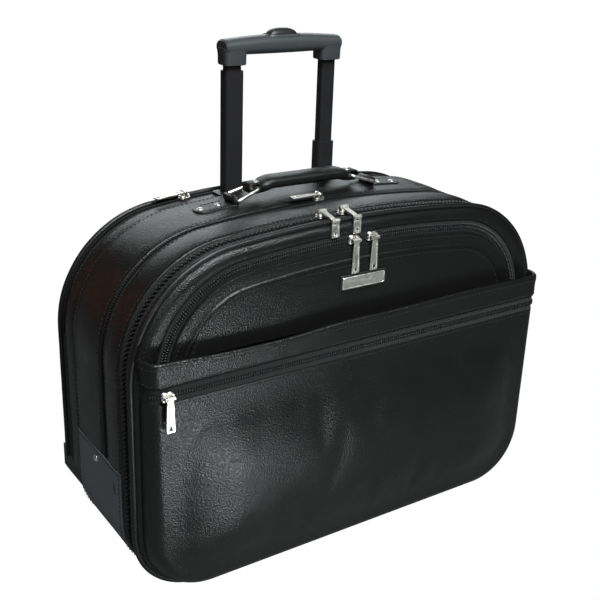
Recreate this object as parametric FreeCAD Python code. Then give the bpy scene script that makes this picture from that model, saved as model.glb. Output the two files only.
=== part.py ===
"""Rolling laptop case in black leather with a two-stage trolley handle.

Millimetres. X runs to the right, Y to the back and Z up. The origin is on the
surface that the case stands on, under the middle of its width and depth.
"""
import FreeCAD, Part
import math
import os

V = FreeCAD.Vector

# Body of the case: an arched outline, seen from the front
HALF_WIDTH = 220.0
BODY_HEIGHT = 316.5
GROUND_GAP = 10.0
TOP_CORNER_R = 106.8
BOTTOM_CORNER_R = 63.5
TOP_CROWN = 6.4
WALL = 4.0
FIT_GAP = 0.3

# Used only to size cutters: a reach past the whole case, and a small overrun
BEYOND = 500.0
OVERRUN = 1.0

# Stations along the depth, front to back
PIPING_Y = -73.0
LID_WALL_BACK_Y = -69.0
MAIN_ZIP_Y = -60.0
MAIN_TAPE_FRONT_Y = -66.0
MAIN_TAPE_BACK_Y = -50.0
ZIP_SPLIT = 0.15
SECOND_ZIP_Y = -15.0
SECOND_TAPE_HALF = 4.0
BACK_SEAM_Y = 47.0
REAR_TAPE_Y = 71.0
REAR_TAPE_END_Y = 82.0
BACK_FACE_Y = 90.0
LOWER_BACK_Y = 97.0
BACK_FLAP_Z = 205.0
BACK_SWELL_INSET = 4.0
FLAP_RIM_CHAMFER = 3.0

# Leather, piping and zips
TAPE_RECESS = 1.0
PIPING_R = 2.5
BACK_INSET = 1.5
BACK_DROP = 4.0
TEETH_HEIGHT = 1.0
TEETH_WIDTH = 2.5

# Front of the lid
BORDER_INSET = 3.5
ARCH_ZIP_SIDE_GAP = 25.0
ARCH_ZIP_TOP_GAP = 17.5
ARCH_ZIP_CORNER_STEP = 18.8
ARCH_ZIP_X = HALF_WIDTH - ARCH_ZIP_SIDE_GAP
ARCH_ZIP_TOP_Z = GROUND_GAP + BODY_HEIGHT - ARCH_ZIP_TOP_GAP
ARCH_ZIP_CORNER_R = TOP_CORNER_R - ARCH_ZIP_CORNER_STEP
ARCH_CROWN = 6.4
ARCH_TAPE_LOW_Z = 226.0
BORDER_FLOOR = 24.0
BORDER_CORNER_R = 46.0
ARCH_TAPE_WIDTH = 5.0
ARCH_TAPE_THICKNESS = 2.0
FLAP_BOTTOM_Z = 232.0
FLAP_THICKNESS = 8.0
FLAP_WELT = 1.5
FLAP_PANEL_INSET = 17.0
BADGE_SIZE = (50.0, 15.0)
BADGE_Z = 271.0
BADGE_THICKNESS = 2.0
BADGE_LIP = 2.5
BADGE_FACE_DROP = 0.8
BADGE_CORNER_R = 2.0

# Front pocket, whose panel swells forward through the stations below:
# depth, inset of the sides, height of the foot, height of the top
POCKET_SIDE_INSET = 5.0
POCKET_HALF_WIDTH = HALF_WIDTH - POCKET_SIDE_INSET
POCKET_TOP_Z = 242.0
POCKET_ZIP_Z = 213.0
POCKET_TAPE_HALF = 7.0
POCKET_SEAT_Y = -79.0
POCKET_FRONT_Y = -96.0
POCKET_TURN = 11.0
POCKET_TURN_X = POCKET_HALF_WIDTH - POCKET_TURN
POCKET_SKIN = 4.0
POCKET_CORNER_R = 60.0
POCKET_STATIONS = (
    (-79.0, 0.0, 14.0, 206.0),
    (-88.0, 3.0, 17.0, 206.0),
    (-96.0, 11.0, 24.0, 206.0),
    (-99.5, 19.0, 31.0, 204.0),
    (-100.6, 22.0, 34.0, 181.0),
    (-105.5, 40.0, 48.0, 162.0),
    (-110.0, 85.0, 72.0, 140.0),
)
POCKET_SPACE_INSET = 17.0
POCKET_SPACE_X = POCKET_HALF_WIDTH - POCKET_SPACE_INSET
POCKET_SPACE_FLOOR = 30.0
DIVIDER_THICKNESS = 1.5
DIVIDER_TOP_Z = 236.0
ZIP_POCKET_INSET = 37.0
ZIP_POCKET_X = POCKET_HALF_WIDTH - ZIP_POCKET_INSET
ZIP_POCKET_DEPTH = 5.5
ZIP_POCKET_Z = (50.0, 200.0)
DIVIDER_SIDE_GAP = 4.0

# Feet and wheels
WHEEL_R = 25.0
WHEEL_WIDTH = 22.0
WHEEL_INSET = 35.0
WHEEL_OUTER_X = HALF_WIDTH - WHEEL_INSET
WHEEL_Y = 85.0
TYRE_THICKNESS = 6.0
TYRE_EDGE_R = 2.0
HUB_RECESS = 1.0
AXLE_R = 4.0
AXLE_CLEARANCE = 0.05
WELL_SIDE_GAP = 2.0
WELL_GAP = 3.0
HOUSING_WALL = 5.0
HOUSING_INSET = 6.0
HOUSING_WIDTH = 68.0
HOUSING_OUTER_X = HALF_WIDTH - HOUSING_INSET
HOUSING_INNER_X = HOUSING_OUTER_X - HOUSING_WIDTH
HOUSING_TOP_Z = 74.0
HOUSING_BACK_Y = 107.0
FOOT_INSET = 76.0
FOOT_X = HALF_WIDTH - FOOT_INSET
FOOT_Y = -36.0
FOOT_R = 11.0
FOOT_TAPER = 1.5

# Side guards
GUARD_FRONT_Y = -48.0
GUARD_BACK_Y = 46.0
GUARD_TOP_Z = 122.0
GUARD_REACH = 62.0
GUARD_INNER_X = HALF_WIDTH - GUARD_REACH
GUARD_THICKNESS = 1.2
GUARD_RIVET = (4.0, 112.0)
RIVET_R = 3.5
RIVET_HEIGHT = 1.2

# Trolley: at rest the left middle tube is almost fully out and the right one is not
TUBE_X = 52.0
TUBE_Y = 60.5
INNER_TUBE = (15.0, 10.0)
TUBE_WALL = 1.4
TUBE_GAP = 0.4
TUBE_CORNER_R = 3.0
INNER_TUBE_CORNER_R = 2.0
TUBE_CORNER_MIN_R = 0.5
TUBE_BOTTOM_Z = 30.0
TUBE_END_GAP = 2.0
COLLAPSED_LEG_Z = 326.0
TUBE_IN_SOCKET = 15.0
LEFT_STAGE_OUT = 94.0
RIGHT_STAGE_OUT = 20.0
BEZEL_MARGIN = 5.0
BEZEL_DEPTH_MARGIN = 1.0
BEZEL_HEIGHT = 2.5
BEZEL_SINK = 2.0
BEZEL_CORNER_R = 4.0
OUTER_TUBE_DROP = 1.0
BRACKET_HALF_WIDTH = 72.0
BRACKET_Y = (51.0, 73.0)
BOARD_Y = (47.5, 50.5)
DIVIDER_Y = (-17.0, -13.0)

# Grip of the trolley
GRIP_HALF_WIDTH = 64.0
GRIP_LEG_WIDTH = 24.0
GRIP_LEG_DEPTH = 21.0
GRIP_BAR_DROP = 8.0
GRIP_CAP = 7.5
GRIP_ROUNDING = 6.0
GRIP_BAR_DEPTH = 25.0
SOCKET_DEPTH = 17.5
BUTTON_HALF_LENGTH = 16.0
BUTTON_WIDTH = 14.0
BUTTON_RISE = 6.0
BUTTON_TRAVEL = 4.0
BUTTON_GAP = 0.4
BUTTON_FOOT = 3.0

# Carry handle
HANDLE_Y = 18.0
HANDLE_HALF_LENGTH = 46.0
HANDLE_HEIGHT = 12.0
HANDLE_WIDTH = 22.0
HANDLE_ROUNDING = 5.4
HANDLE_LIFT = 7.5
HANDLE_UNDERSIDE_Z = GROUND_GAP + BODY_HEIGHT + HANDLE_LIFT
HANDLE_END_X = 61.5
HANDLE_END_WIDTH = 12.0
HANDLE_END_HEIGHT = 10.0
HANDLE_END_OVERLAP = 2.0
LOOP_SLOT_X = (49.2, 58.9)
LOOP_SLOT_HEIGHT = 5.0
RING_PIVOT_X = 76.0
RING_LENGTH = 25.0
RING_REST_DEG = 17.5
RING_WIRE_R = 1.6
RING_PIVOT_HALF = 12.4
RING_END_HALF = 8.6
CHAPE_OUTER_X = 114.0
CHAPE_WIDTH = 20.0
CHAPE_THICKNESS = 2.0
CHAPE_EYE_R = 3.6
CHAPE_EYE_SINK = 0.2
CHAPE_RIVETS_X = (108.0, 90.0)
BORE_GAP = 0.08

# Zip sliders and pulls
SLIDER_LENGTH = 11.0
SLIDER_WIDTH = 9.0
SLIDER_THICKNESS = 3.0
SLIDER_CORNER_R = 2.0
ROD_HEIGHT = 2.6
ROD_Z = FIT_GAP + SLIDER_THICKNESS + ROD_HEIGHT
JOIN_OVERLAP = 0.5
ROD_R = 0.9
EAR_THICKNESS = 1.3
EAR_SPAN = 9.0
EAR_R = 1.7
EYE_R = 2.0
EYE_SIDE_GAP = 0.3
PULL_THICKNESS = 1.6
PULL_WIDTH = 8.0
PULL_LENGTH = 30.0
PULL_NECK = 4.0
PULL_NECK_OVERLAP = 2.0
PULL_CORNER_R = 1.5
PULL_HOLE_R = 1.6
PULL_HOLE_INSET = 4.0
LINK_LENGTH = 20.6
LINK_SLOPE_DEG = 9.0
LINK_EYE_HALF = 1.5
LINK_WAIST = 5.0
MAIN_PULL_LENGTH = 15.0
MAIN_SLIDER_X = (-31.0, -8.0)
ARCH_SLIDER_X = (-10.0, 10.0)
POCKET_SLIDER_INSET = 16.0
POCKET_SLIDER_X = POCKET_SLIDER_INSET - POCKET_HALF_WIDTH
SECOND_SLIDER_X = -4.0
REAR_SLIDER_X = -94.0


def box(x0, x1, y0, y1, z0, z1):
    """A block between the given low and high values."""
    return Part.makeBox(x1 - x0, y1 - y0, z1 - z0, V(x0, y0, z0))


def both_sides(shape):
    """The shape and its mirror image in the plane X = 0."""
    return [shape, shape.mirror(V(0, 0, 0), V(1, 0, 0))]


def save(name, *shapes):
    """Write one sub-part, made of one solid or of several separate ones."""
    solids = [solid for shape in shapes for solid in shape.Solids]
    shape = solids[0] if len(solids) == 1 else Part.makeCompound(solids)
    shape.exportStep("parts/" + name + ".step")
    return shape


def top_radius(half_width, corner, crown):
    """Radius of the shallow top arc that is tangent to both corner arcs."""
    run = half_width - corner
    drop = -crown - corner
    return (corner ** 2 - run ** 2 - drop ** 2) / (2 * drop + 2 * corner)


def arch_wire(half_width, z_low, z_high, y, bottom_r, top_r, crown):
    """Closed outline of the case at one depth: flat base, round corners, crowned top."""
    run = half_width - top_r
    corner_z = z_high - crown - top_r
    big_r = top_radius(half_width, top_r, crown)
    big_z = z_high - big_r
    reach = math.hypot(run, corner_z - big_z)
    tan_x = run * big_r / reach
    tan_z = big_z + (corner_z - big_z) * big_r / reach
    angle = (math.atan2(corner_z - big_z, run)) / 2
    mid_x = run + top_r * math.cos(angle)
    mid_z = corner_z + top_r * math.sin(angle)
    low = z_low + bottom_r
    s = bottom_r * (1 - math.sqrt(0.5))
    edges = [
        Part.Arc(V(tan_x, y, tan_z), V(0, y, z_high), V(-tan_x, y, tan_z)).toShape(),
        Part.Arc(V(-tan_x, y, tan_z), V(-mid_x, y, mid_z), V(-half_width, y, corner_z)).toShape(),
        Part.makeLine(V(-half_width, y, corner_z), V(-half_width, y, low)),
        Part.Arc(V(-half_width, y, low), V(-half_width + s, y, z_low + s),
                 V(-half_width + bottom_r, y, z_low)).toShape(),
        Part.makeLine(V(-half_width + bottom_r, y, z_low), V(half_width - bottom_r, y, z_low)),
        Part.Arc(V(half_width - bottom_r, y, z_low), V(half_width - s, y, z_low + s),
                 V(half_width, y, low)).toShape(),
        Part.makeLine(V(half_width, y, low), V(half_width, y, corner_z)),
        Part.Arc(V(half_width, y, corner_z), V(mid_x, y, mid_z), V(tan_x, y, tan_z)).toShape(),
    ]
    return Part.Wire(edges)


def case_wire(inset, y, drop=0.0):
    """The case's outline moved inwards, with its top lowered by drop as well."""
    return arch_wire(HALF_WIDTH - inset, GROUND_GAP + inset, GROUND_GAP + BODY_HEIGHT - inset - drop,
                     y, BOTTOM_CORNER_R - inset, TOP_CORNER_R - inset, TOP_CROWN)


def slab(y0, y1, inset=0.0, drop=0.0):
    """A solid of the case's outline between two depths."""
    return Part.Face(case_wire(inset, y0, drop)).extrude(V(0, y1 - y0, 0))


def ring(y0, y1, outer=0.0, inner=WALL, drop=0.0):
    """A band of the case's wall between two depths."""
    return slab(y0, y1, outer, drop).cut(slab(y0 - OVERRUN, y1 + OVERRUN, inner, drop))


def surface_z(x, inset=0.0, drop=0.0):
    """Height of the case's top arc at one place across its width."""
    big_r = top_radius(HALF_WIDTH - inset, TOP_CORNER_R - inset, TOP_CROWN)
    top = GROUND_GAP + BODY_HEIGHT - inset - drop
    return top - big_r + math.sqrt(big_r ** 2 - x ** 2)


def tube(width, depth, wall, z0, z1, corner=TUBE_CORNER_R):
    """A rounded rectangular tube standing at the trolley's depth, centred on X = 0."""
    outer = rounded_post(width, depth, z0, z1, corner)
    inner = rounded_post(width - 2 * wall, depth - 2 * wall, z0 - OVERRUN, z1 + OVERRUN,
                         max(corner - wall, TUBE_CORNER_MIN_R))
    return outer.cut(inner)


def rounded_post(width, depth, z0, z1, corner):
    """A solid post with rounded upright edges at the trolley's depth, centred on X = 0."""
    post = box(-width / 2, width / 2, TUBE_Y - depth / 2, TUBE_Y + depth / 2, z0, z1)
    upright = [e for e in post.Edges if abs(e.Vertexes[0].Z - e.Vertexes[1].Z) > 1e-6]
    return post.makeFillet(corner, upright)


def moved(shape, x=0.0, y=0.0, z=0.0):
    """A copy of the shape, shifted."""
    copy = shape.copy()
    copy.translate(V(x, y, z))
    return copy


def cylinder(radius, start, end):
    """A round rod between two points."""
    axis = V(*end) - V(*start)
    return Part.makeCylinder(radius, axis.Length, V(*start), axis)


def piping(y, inset, drop):
    """A round welt that follows the case's outline at one depth."""
    edges = case_wire(inset, y, drop).OrderedEdges
    base = min(edges, key=lambda e: e.BoundBox.ZMax)
    start = edges.index(base)
    path = Part.Wire(edges[start:] + edges[:start])
    at = path.OrderedVertexes[0].Point
    along = path.OrderedEdges[0].tangentAt(path.OrderedEdges[0].FirstParameter)
    profile = Part.Wire(Part.makeCircle(PIPING_R, at, along))
    return path.makePipeShell([profile], True, False)


def wheel_box(side):
    """The room that a wheel housing takes out of the back of the case."""
    x0, x1 = sorted((side * HOUSING_INNER_X, side * BEYOND))
    return box(x0, x1, BACK_SEAM_Y, BEYOND, 0, HOUSING_TOP_Z)


def without_wheel_boxes(shape):
    """The shape with both wheel housings' room removed."""
    return shape.cut(wheel_box(1)).cut(wheel_box(-1))


def build_case():
    """The case's wall in bands, with its zip tapes, boards and backs."""
    tape = ring(MAIN_ZIP_Y + ZIP_SPLIT, MAIN_TAPE_BACK_Y, TAPE_RECESS)
    teeth = ring(MAIN_ZIP_Y + ZIP_SPLIT, MAIN_ZIP_Y + TEETH_WIDTH, TAPE_RECESS - TEETH_HEIGHT)
    save("main_zip_rear_tape", tape.fuse(teeth).removeSplitter())
    front_end = SECOND_ZIP_Y - SECOND_TAPE_HALF
    middle_start = SECOND_ZIP_Y + SECOND_TAPE_HALF
    save("front_gusset", ring(MAIN_TAPE_BACK_Y, front_end))
    tape = ring(front_end, middle_start, TAPE_RECESS)
    teeth = ring(SECOND_ZIP_Y - TEETH_WIDTH, SECOND_ZIP_Y + TEETH_WIDTH, TAPE_RECESS - TEETH_HEIGHT)
    save("second_zip_tape", tape.fuse(teeth).removeSplitter())
    save("middle_gusset", ring(middle_start, BACK_SEAM_Y))
    gusset = without_wheel_boxes(ring(BACK_SEAM_Y, REAR_TAPE_Y, BACK_INSET, WALL + BACK_INSET, BACK_DROP))
    width, depth = outer_tube_size()
    hole = rounded_post(width + 2 * TUBE_GAP, depth + 2 * TUBE_GAP, BODY_HEIGHT / 2, BEYOND, TUBE_CORNER_R)
    for x in (-TUBE_X, TUBE_X):
        gusset = gusset.cut(moved(hole, x))
    save("back_gusset", gusset)
    tape = ring(REAR_TAPE_Y, REAR_TAPE_END_Y - FIT_GAP, BACK_INSET + TAPE_RECESS, WALL + BACK_INSET,
                BACK_DROP)
    save("rear_zip_tape", without_wheel_boxes(tape))
    welt = piping(REAR_TAPE_END_Y, BACK_INSET, BACK_DROP)
    welt = welt.cut(slab(REAR_TAPE_Y, BACK_FACE_Y + PIPING_R, BACK_INSET, BACK_DROP))
    save("rear_piping", without_wheel_boxes(welt))
    save("laptop_divider", slab(DIVIDER_Y[0], DIVIDER_Y[1], WALL))
    board = slab(BOARD_Y[0], BOARD_Y[1], WALL + BACK_INSET, BACK_DROP)
    save("trolley_board", without_wheel_boxes(board))


def build_backs():
    """The lower back panel, and the flap above it that the rear zip opens."""
    inset = BACK_INSET + PIPING_R
    swell_inset = inset + BACK_SWELL_INSET
    low = slab(REAR_TAPE_END_Y, BACK_FACE_Y, BACK_INSET, BACK_DROP)
    swell = slab(BACK_FACE_Y, LOWER_BACK_Y, swell_inset, BACK_DROP)
    hollow = slab(REAR_TAPE_END_Y - OVERRUN, LOWER_BACK_Y - POCKET_SKIN, WALL + swell_inset, BACK_DROP)
    low = low.fuse(swell).cut(hollow).cut(box(-BEYOND, BEYOND, 0, BEYOND, BACK_FLAP_Z, BEYOND))
    save("lower_back_panel", without_wheel_boxes(low).removeSplitter())
    flap_z = BACK_FLAP_Z + FIT_GAP
    flap = slab(REAR_TAPE_END_Y, BACK_FACE_Y, inset, BACK_DROP)
    flap = flap.cut(box(-BEYOND, BEYOND, 0, BEYOND, 0, flap_z))
    rim = [e for e in flap.Edges
           if e.BoundBox.YMin > BACK_FACE_Y - FIT_GAP and e.BoundBox.ZMax > flap_z + FIT_GAP]
    save("back_flap", flap.makeChamfer(FLAP_RIM_CHAMFER, rim))


def build_guards_and_feet():
    """The corner guards, their rivets and the chapes' rivets, and the two feet."""
    band = ring(GUARD_FRONT_Y, GUARD_BACK_Y, -GUARD_THICKNESS, 0.0)
    guard = band.common(box(GUARD_INNER_X, BEYOND, GUARD_FRONT_Y, GUARD_BACK_Y, 0, GUARD_TOP_Z))
    save("side_guards", *both_sides(guard))
    face = HALF_WIDTH + GUARD_THICKNESS
    rivet = cylinder(RIVET_R, (face, GUARD_RIVET[0], GUARD_RIVET[1]),
                     (face + RIVET_HEIGHT, GUARD_RIVET[0], GUARD_RIVET[1]))
    rivets = both_sides(rivet)
    for x in CHAPE_RIVETS_X:
        top = surface_z(x) + CHAPE_THICKNESS
        pin = cylinder(RIVET_R, (x, HANDLE_Y, top - OVERRUN), (x, HANDLE_Y, top + RIVET_HEIGHT))
        pin = pin.cut(slab(MAIN_ZIP_Y, BACK_SEAM_Y, -CHAPE_THICKNESS))
        rivets = rivets + both_sides(pin)
    save("rivets", *rivets)
    foot = Part.makeCone(FOOT_R - FOOT_TAPER, FOOT_R, GROUND_GAP, V(FOOT_X, FOOT_Y, 0))
    save("front_feet", *both_sides(foot))


def on_axle(radius, grow):
    """A round block on the right wheel's axis, longer than the wheel by grow at both ends."""
    inner_x = WHEEL_OUTER_X - WHEEL_WIDTH
    return cylinder(radius, (inner_x - grow, WHEEL_Y, WHEEL_R), (WHEEL_OUTER_X + grow, WHEEL_Y, WHEEL_R))


def build_wheels():
    """The two wheels, their axles and the corner housings that carry them."""
    outline = slab(BACK_SEAM_Y, HOUSING_BACK_Y, BACK_INSET, BACK_DROP)
    room = box(HOUSING_INNER_X + FIT_GAP, HOUSING_OUTER_X, BACK_SEAM_Y + FIT_GAP, HOUSING_BACK_Y,
               0, HOUSING_TOP_Z - FIT_GAP)
    body = outline.common(room)
    well = on_axle(WHEEL_R + WELL_GAP, WELL_SIDE_GAP)
    axle_end = WELL_SIDE_GAP + HOUSING_WALL
    bore = on_axle(AXLE_R + AXLE_CLEARANCE, axle_end)
    save("wheel_housings", *both_sides(body.cut(well).cut(bore)))
    save("wheel_axles", *both_sides(on_axle(AXLE_R, axle_end)))
    hub_r = WHEEL_R - TYRE_THICKNESS
    hub = on_axle(hub_r, -HUB_RECESS).cut(bore)
    tyre = on_axle(WHEEL_R, 0.0)
    edges = [e for e in tyre.Edges if e.Curve.TypeId == "Part::GeomCircle"]
    tyre = tyre.makeFillet(TYRE_EDGE_R, edges).cut(on_axle(hub_r, OVERRUN))
    for name, part in (("tyre", tyre), ("hub", hub)):
        right, left = both_sides(part)
        save("right_wheel_" + name, right)
        save("left_wheel_" + name, left)


def middle_tube_size():
    """Width and depth of the tube that the inner tube slides in."""
    grow = 2 * (TUBE_GAP + TUBE_WALL)
    return INNER_TUBE[0] + grow, INNER_TUBE[1] + grow


def outer_tube_size():
    """Width and depth of the fixed tube that the middle tube slides in."""
    width, depth = middle_tube_size()
    grow = 2 * (TUBE_GAP + TUBE_WALL)
    return width + grow, depth + grow


def build_trolley():
    """Fixed tubes, two sliding stages, the grip and its release button."""
    top = surface_z(TUBE_X, BACK_INSET, BACK_DROP)
    width, depth = outer_tube_size()
    outer = tube(width, depth, TUBE_WALL, TUBE_BOTTOM_Z, top - OUTER_TUBE_DROP)
    save("outer_tubes", *[moved(outer, x) for x in (-TUBE_X, TUBE_X)])
    floor = GROUND_GAP + WALL + BACK_INSET
    save("tube_bracket", box(-BRACKET_HALF_WIDTH, BRACKET_HALF_WIDTH, BRACKET_Y[0], BRACKET_Y[1],
                             floor, TUBE_BOTTOM_Z))
    mid_w, mid_d = middle_tube_size()
    bezel = rounded_post(width + 2 * BEZEL_MARGIN, depth + 2 * BEZEL_DEPTH_MARGIN, top - BEZEL_SINK,
                         top + BEZEL_HEIGHT, BEZEL_CORNER_R)
    bezel = bezel.cut(rounded_post(mid_w + 2 * TUBE_GAP, mid_d + 2 * TUBE_GAP, BODY_HEIGHT / 2, BEYOND,
                                   TUBE_CORNER_R))
    skin = slab(BACK_SEAM_Y, REAR_TAPE_Y, BACK_INSET, BACK_DROP)
    save("tube_bezels", *[moved(bezel, x).cut(skin) for x in (-TUBE_X, TUBE_X)])
    middle_top = COLLAPSED_LEG_Z + TUBE_IN_SOCKET
    middle = tube(mid_w, mid_d, TUBE_WALL, TUBE_BOTTOM_Z + TUBE_END_GAP, middle_top)
    save("left_middle_tube", moved(middle, -TUBE_X, 0, LEFT_STAGE_OUT))
    save("right_middle_tube", moved(middle, TUBE_X, 0, RIGHT_STAGE_OUT))
    raised = LEFT_STAGE_OUT + RIGHT_STAGE_OUT
    leg_z = COLLAPSED_LEG_Z + raised
    inner = tube(INNER_TUBE[0], INNER_TUBE[1], TUBE_WALL, TUBE_BOTTOM_Z + 2 * TUBE_END_GAP + raised,
                 leg_z + SOCKET_DEPTH, INNER_TUBE_CORNER_R)
    save("inner_tubes", *[moved(inner, x) for x in (-TUBE_X, TUBE_X)])
    build_grip(leg_z)


def build_grip(leg_z):
    """The moulded grip, hollow at both legs and open on top for its button."""
    mid_w, mid_d = middle_tube_size()
    bar_z = leg_z + SOCKET_DEPTH - GRIP_BAR_DROP
    bar_top = leg_z + SOCKET_DEPTH + GRIP_CAP
    half_d = GRIP_BAR_DEPTH / 2
    bar = box(-GRIP_HALF_WIDTH, GRIP_HALF_WIDTH, TUBE_Y - half_d, TUBE_Y + half_d, bar_z, bar_top)
    edges = [e for e in bar.Edges if e.BoundBox.XLength > GRIP_HALF_WIDTH]
    grip = bar.makeFillet(GRIP_ROUNDING, edges)
    leg = box(GRIP_HALF_WIDTH - GRIP_LEG_WIDTH, GRIP_HALF_WIDTH, TUBE_Y - GRIP_LEG_DEPTH / 2,
              TUBE_Y + GRIP_LEG_DEPTH / 2, leg_z, bar_z + GRIP_ROUNDING)
    for solid in both_sides(leg):
        grip = grip.fuse(solid)
    socket = rounded_post(mid_w + 2 * TUBE_GAP, mid_d + 2 * TUBE_GAP, leg_z - OVERRUN, leg_z + SOCKET_DEPTH,
                          TUBE_CORNER_R)
    for x in (-TUBE_X, TUBE_X):
        grip = grip.cut(moved(socket, x))
    well = box(-BUTTON_HALF_LENGTH - BUTTON_GAP, BUTTON_HALF_LENGTH + BUTTON_GAP,
               TUBE_Y - BUTTON_WIDTH / 2 - BUTTON_GAP, TUBE_Y + BUTTON_WIDTH / 2 + BUTTON_GAP,
               bar_top - BUTTON_TRAVEL - BUTTON_FOOT - OVERRUN, bar_top + OVERRUN)
    save("trolley_grip", grip.cut(well).removeSplitter())
    foot_z = bar_top - BUTTON_FOOT
    near, far = TUBE_Y - BUTTON_WIDTH / 2, TUBE_Y + BUTTON_WIDTH / 2
    foot = box(-BUTTON_HALF_LENGTH, BUTTON_HALF_LENGTH, near, far, foot_z, bar_top)
    cap = box(-BUTTON_HALF_LENGTH, BUTTON_HALF_LENGTH, near, far, bar_top, bar_top + BUTTON_RISE)
    dome_r = (BUTTON_HALF_LENGTH ** 2 + BUTTON_RISE ** 2) / (2 * BUTTON_RISE)
    dome_z = bar_top + BUTTON_RISE - dome_r
    dome = cylinder(dome_r, (0, near, dome_z), (0, far, dome_z))
    save("grip_button", foot.fuse(cap.common(dome)).removeSplitter())


def arch_inside(offset, y, floor):
    """Outline that runs beside the arched zip's line, offset outwards from it."""
    return arch_wire(ARCH_ZIP_X + offset, floor, ARCH_ZIP_TOP_Z + offset, y, BORDER_CORNER_R,
                     ARCH_ZIP_CORNER_R + offset, ARCH_CROWN)


def arch_slab(y0, y1, offset, floor):
    """A solid inside the arched zip's line between two depths."""
    return Part.Face(arch_inside(offset, y0, floor)).extrude(V(0, y1 - y0, 0))


def build_lid():
    """The lid's tray, piping and front border, which the main zip opens."""
    tray = slab(PIPING_Y, MAIN_TAPE_FRONT_Y).cut(slab(LID_WALL_BACK_Y, MAIN_ZIP_Y, WALL))
    save("lid_tray", tray)
    tape = ring(MAIN_TAPE_FRONT_Y, MAIN_ZIP_Y - ZIP_SPLIT, TAPE_RECESS)
    teeth = ring(MAIN_ZIP_Y - TEETH_WIDTH, MAIN_ZIP_Y - ZIP_SPLIT, TAPE_RECESS - TEETH_HEIGHT)
    save("main_zip_front_tape", tape.fuse(teeth).removeSplitter())
    welt = piping(PIPING_Y, 0.0, 0.0)
    save("front_piping", welt.cut(slab(PIPING_Y, MAIN_ZIP_Y)))
    border = slab(POCKET_SEAT_Y, PIPING_Y, BORDER_INSET)
    opening = arch_slab(POCKET_SEAT_Y - OVERRUN, PIPING_Y + OVERRUN, ARCH_TAPE_WIDTH, BORDER_FLOOR)
    save("front_border", border.cut(opening))
    tape_y = POCKET_SEAT_Y + 1
    outer = arch_slab(tape_y, tape_y + ARCH_TAPE_THICKNESS, ARCH_TAPE_WIDTH, BORDER_FLOOR)
    outer = outer.cut(arch_slab(tape_y - OVERRUN, PIPING_Y, ZIP_SPLIT, 0.0))
    save("arch_zip_outer_tape", outer.cut(box(-BEYOND, BEYOND, -BEYOND, 0, 0, ARCH_TAPE_LOW_Z)))


def build_flap():
    """The organiser's flap inside the arched zip, with its half of the zip and the badge."""
    back = PIPING_Y - FIT_GAP
    front = back - FLAP_THICKNESS
    below = box(-BEYOND, BEYOND, -BEYOND, 0, 0, FLAP_BOTTOM_Z)
    flap = arch_slab(front, back, -ARCH_TAPE_WIDTH, BORDER_FLOOR).cut(below)
    raised = arch_slab(front - FLAP_WELT, front, -FLAP_PANEL_INSET, BORDER_FLOOR).cut(below)
    save("organiser_flap", flap.fuse(raised).removeSplitter())
    tape_y = POCKET_SEAT_Y + 1
    inner = arch_slab(tape_y, tape_y + ARCH_TAPE_THICKNESS, -ZIP_SPLIT, BORDER_FLOOR)
    inner = inner.cut(arch_slab(front - OVERRUN, back, -ARCH_TAPE_WIDTH, 0.0))
    save("arch_zip_inner_tape", inner.cut(below))
    face = front - FLAP_WELT
    half_w, half_h = BADGE_SIZE[0] / 2, BADGE_SIZE[1] / 2
    badge = box(-half_w, half_w, face - BADGE_THICKNESS, face, BADGE_Z - half_h, BADGE_Z + half_h)
    edges = [e for e in badge.Edges if e.BoundBox.YLength > BADGE_THICKNESS / 2]
    badge = badge.makeFillet(BADGE_CORNER_R, edges)
    half_w, half_h = half_w - BADGE_LIP, half_h - BADGE_LIP
    recess = box(-half_w, half_w, face - BADGE_THICKNESS - OVERRUN, face - BADGE_THICKNESS + BADGE_FACE_DROP,
                 BADGE_Z - half_h, BADGE_Z + half_h)
    save("badge", badge.cut(recess))


def pocket_station(y, inset, low, high):
    """Outline of the swelling pocket panel at one depth: a flat top and round lower corners."""
    x = POCKET_HALF_WIDTH - inset
    r = POCKET_CORNER_R
    s = r * (1 - math.sqrt(0.5))
    return Part.Wire([
        Part.makeLine(V(-x, y, high), V(-x, y, low + r)),
        Part.Arc(V(-x, y, low + r), V(-x + s, y, low + s), V(-x + r, y, low)).toShape(),
        Part.makeLine(V(-x + r, y, low), V(x - r, y, low)),
        Part.Arc(V(x - r, y, low), V(x - s, y, low + s), V(x, y, low + r)).toShape(),
        Part.makeLine(V(x, y, low + r), V(x, y, high)),
        Part.makeLine(V(x, y, high), V(-x, y, high)),
    ])


def pocket_band(z0, z1, recess):
    """A strip of the pocket's front above its panel, which turns back to the border at both ends."""
    seat, front = POCKET_SEAT_Y, POCKET_FRONT_Y + recess
    x0, x1 = POCKET_HALF_WIDTH - recess, POCKET_TURN_X

    def outline(grow):
        x, turn, y = x0 - grow, x1 - grow / 2, front + grow
        mid_x = turn + (x - turn) * math.sqrt(0.5)
        mid_y = seat + (y - seat) * math.sqrt(0.5)
        return Part.Wire([
            Part.makeLine(V(-x, seat, z0), V(x, seat, z0)),
            Part.Arc(V(x, seat, z0), V(mid_x, mid_y, z0), V(turn, y, z0)).toShape(),
            Part.makeLine(V(turn, y, z0), V(-turn, y, z0)),
            Part.Arc(V(-turn, y, z0), V(-mid_x, mid_y, z0), V(-x, seat, z0)).toShape(),
        ])
    solid = Part.Face(outline(0.0)).extrude(V(0, 0, z1 - z0))
    return solid.cut(Part.Face(outline(POCKET_SKIN - recess)).extrude(V(0, 0, z1 - z0)))


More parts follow.
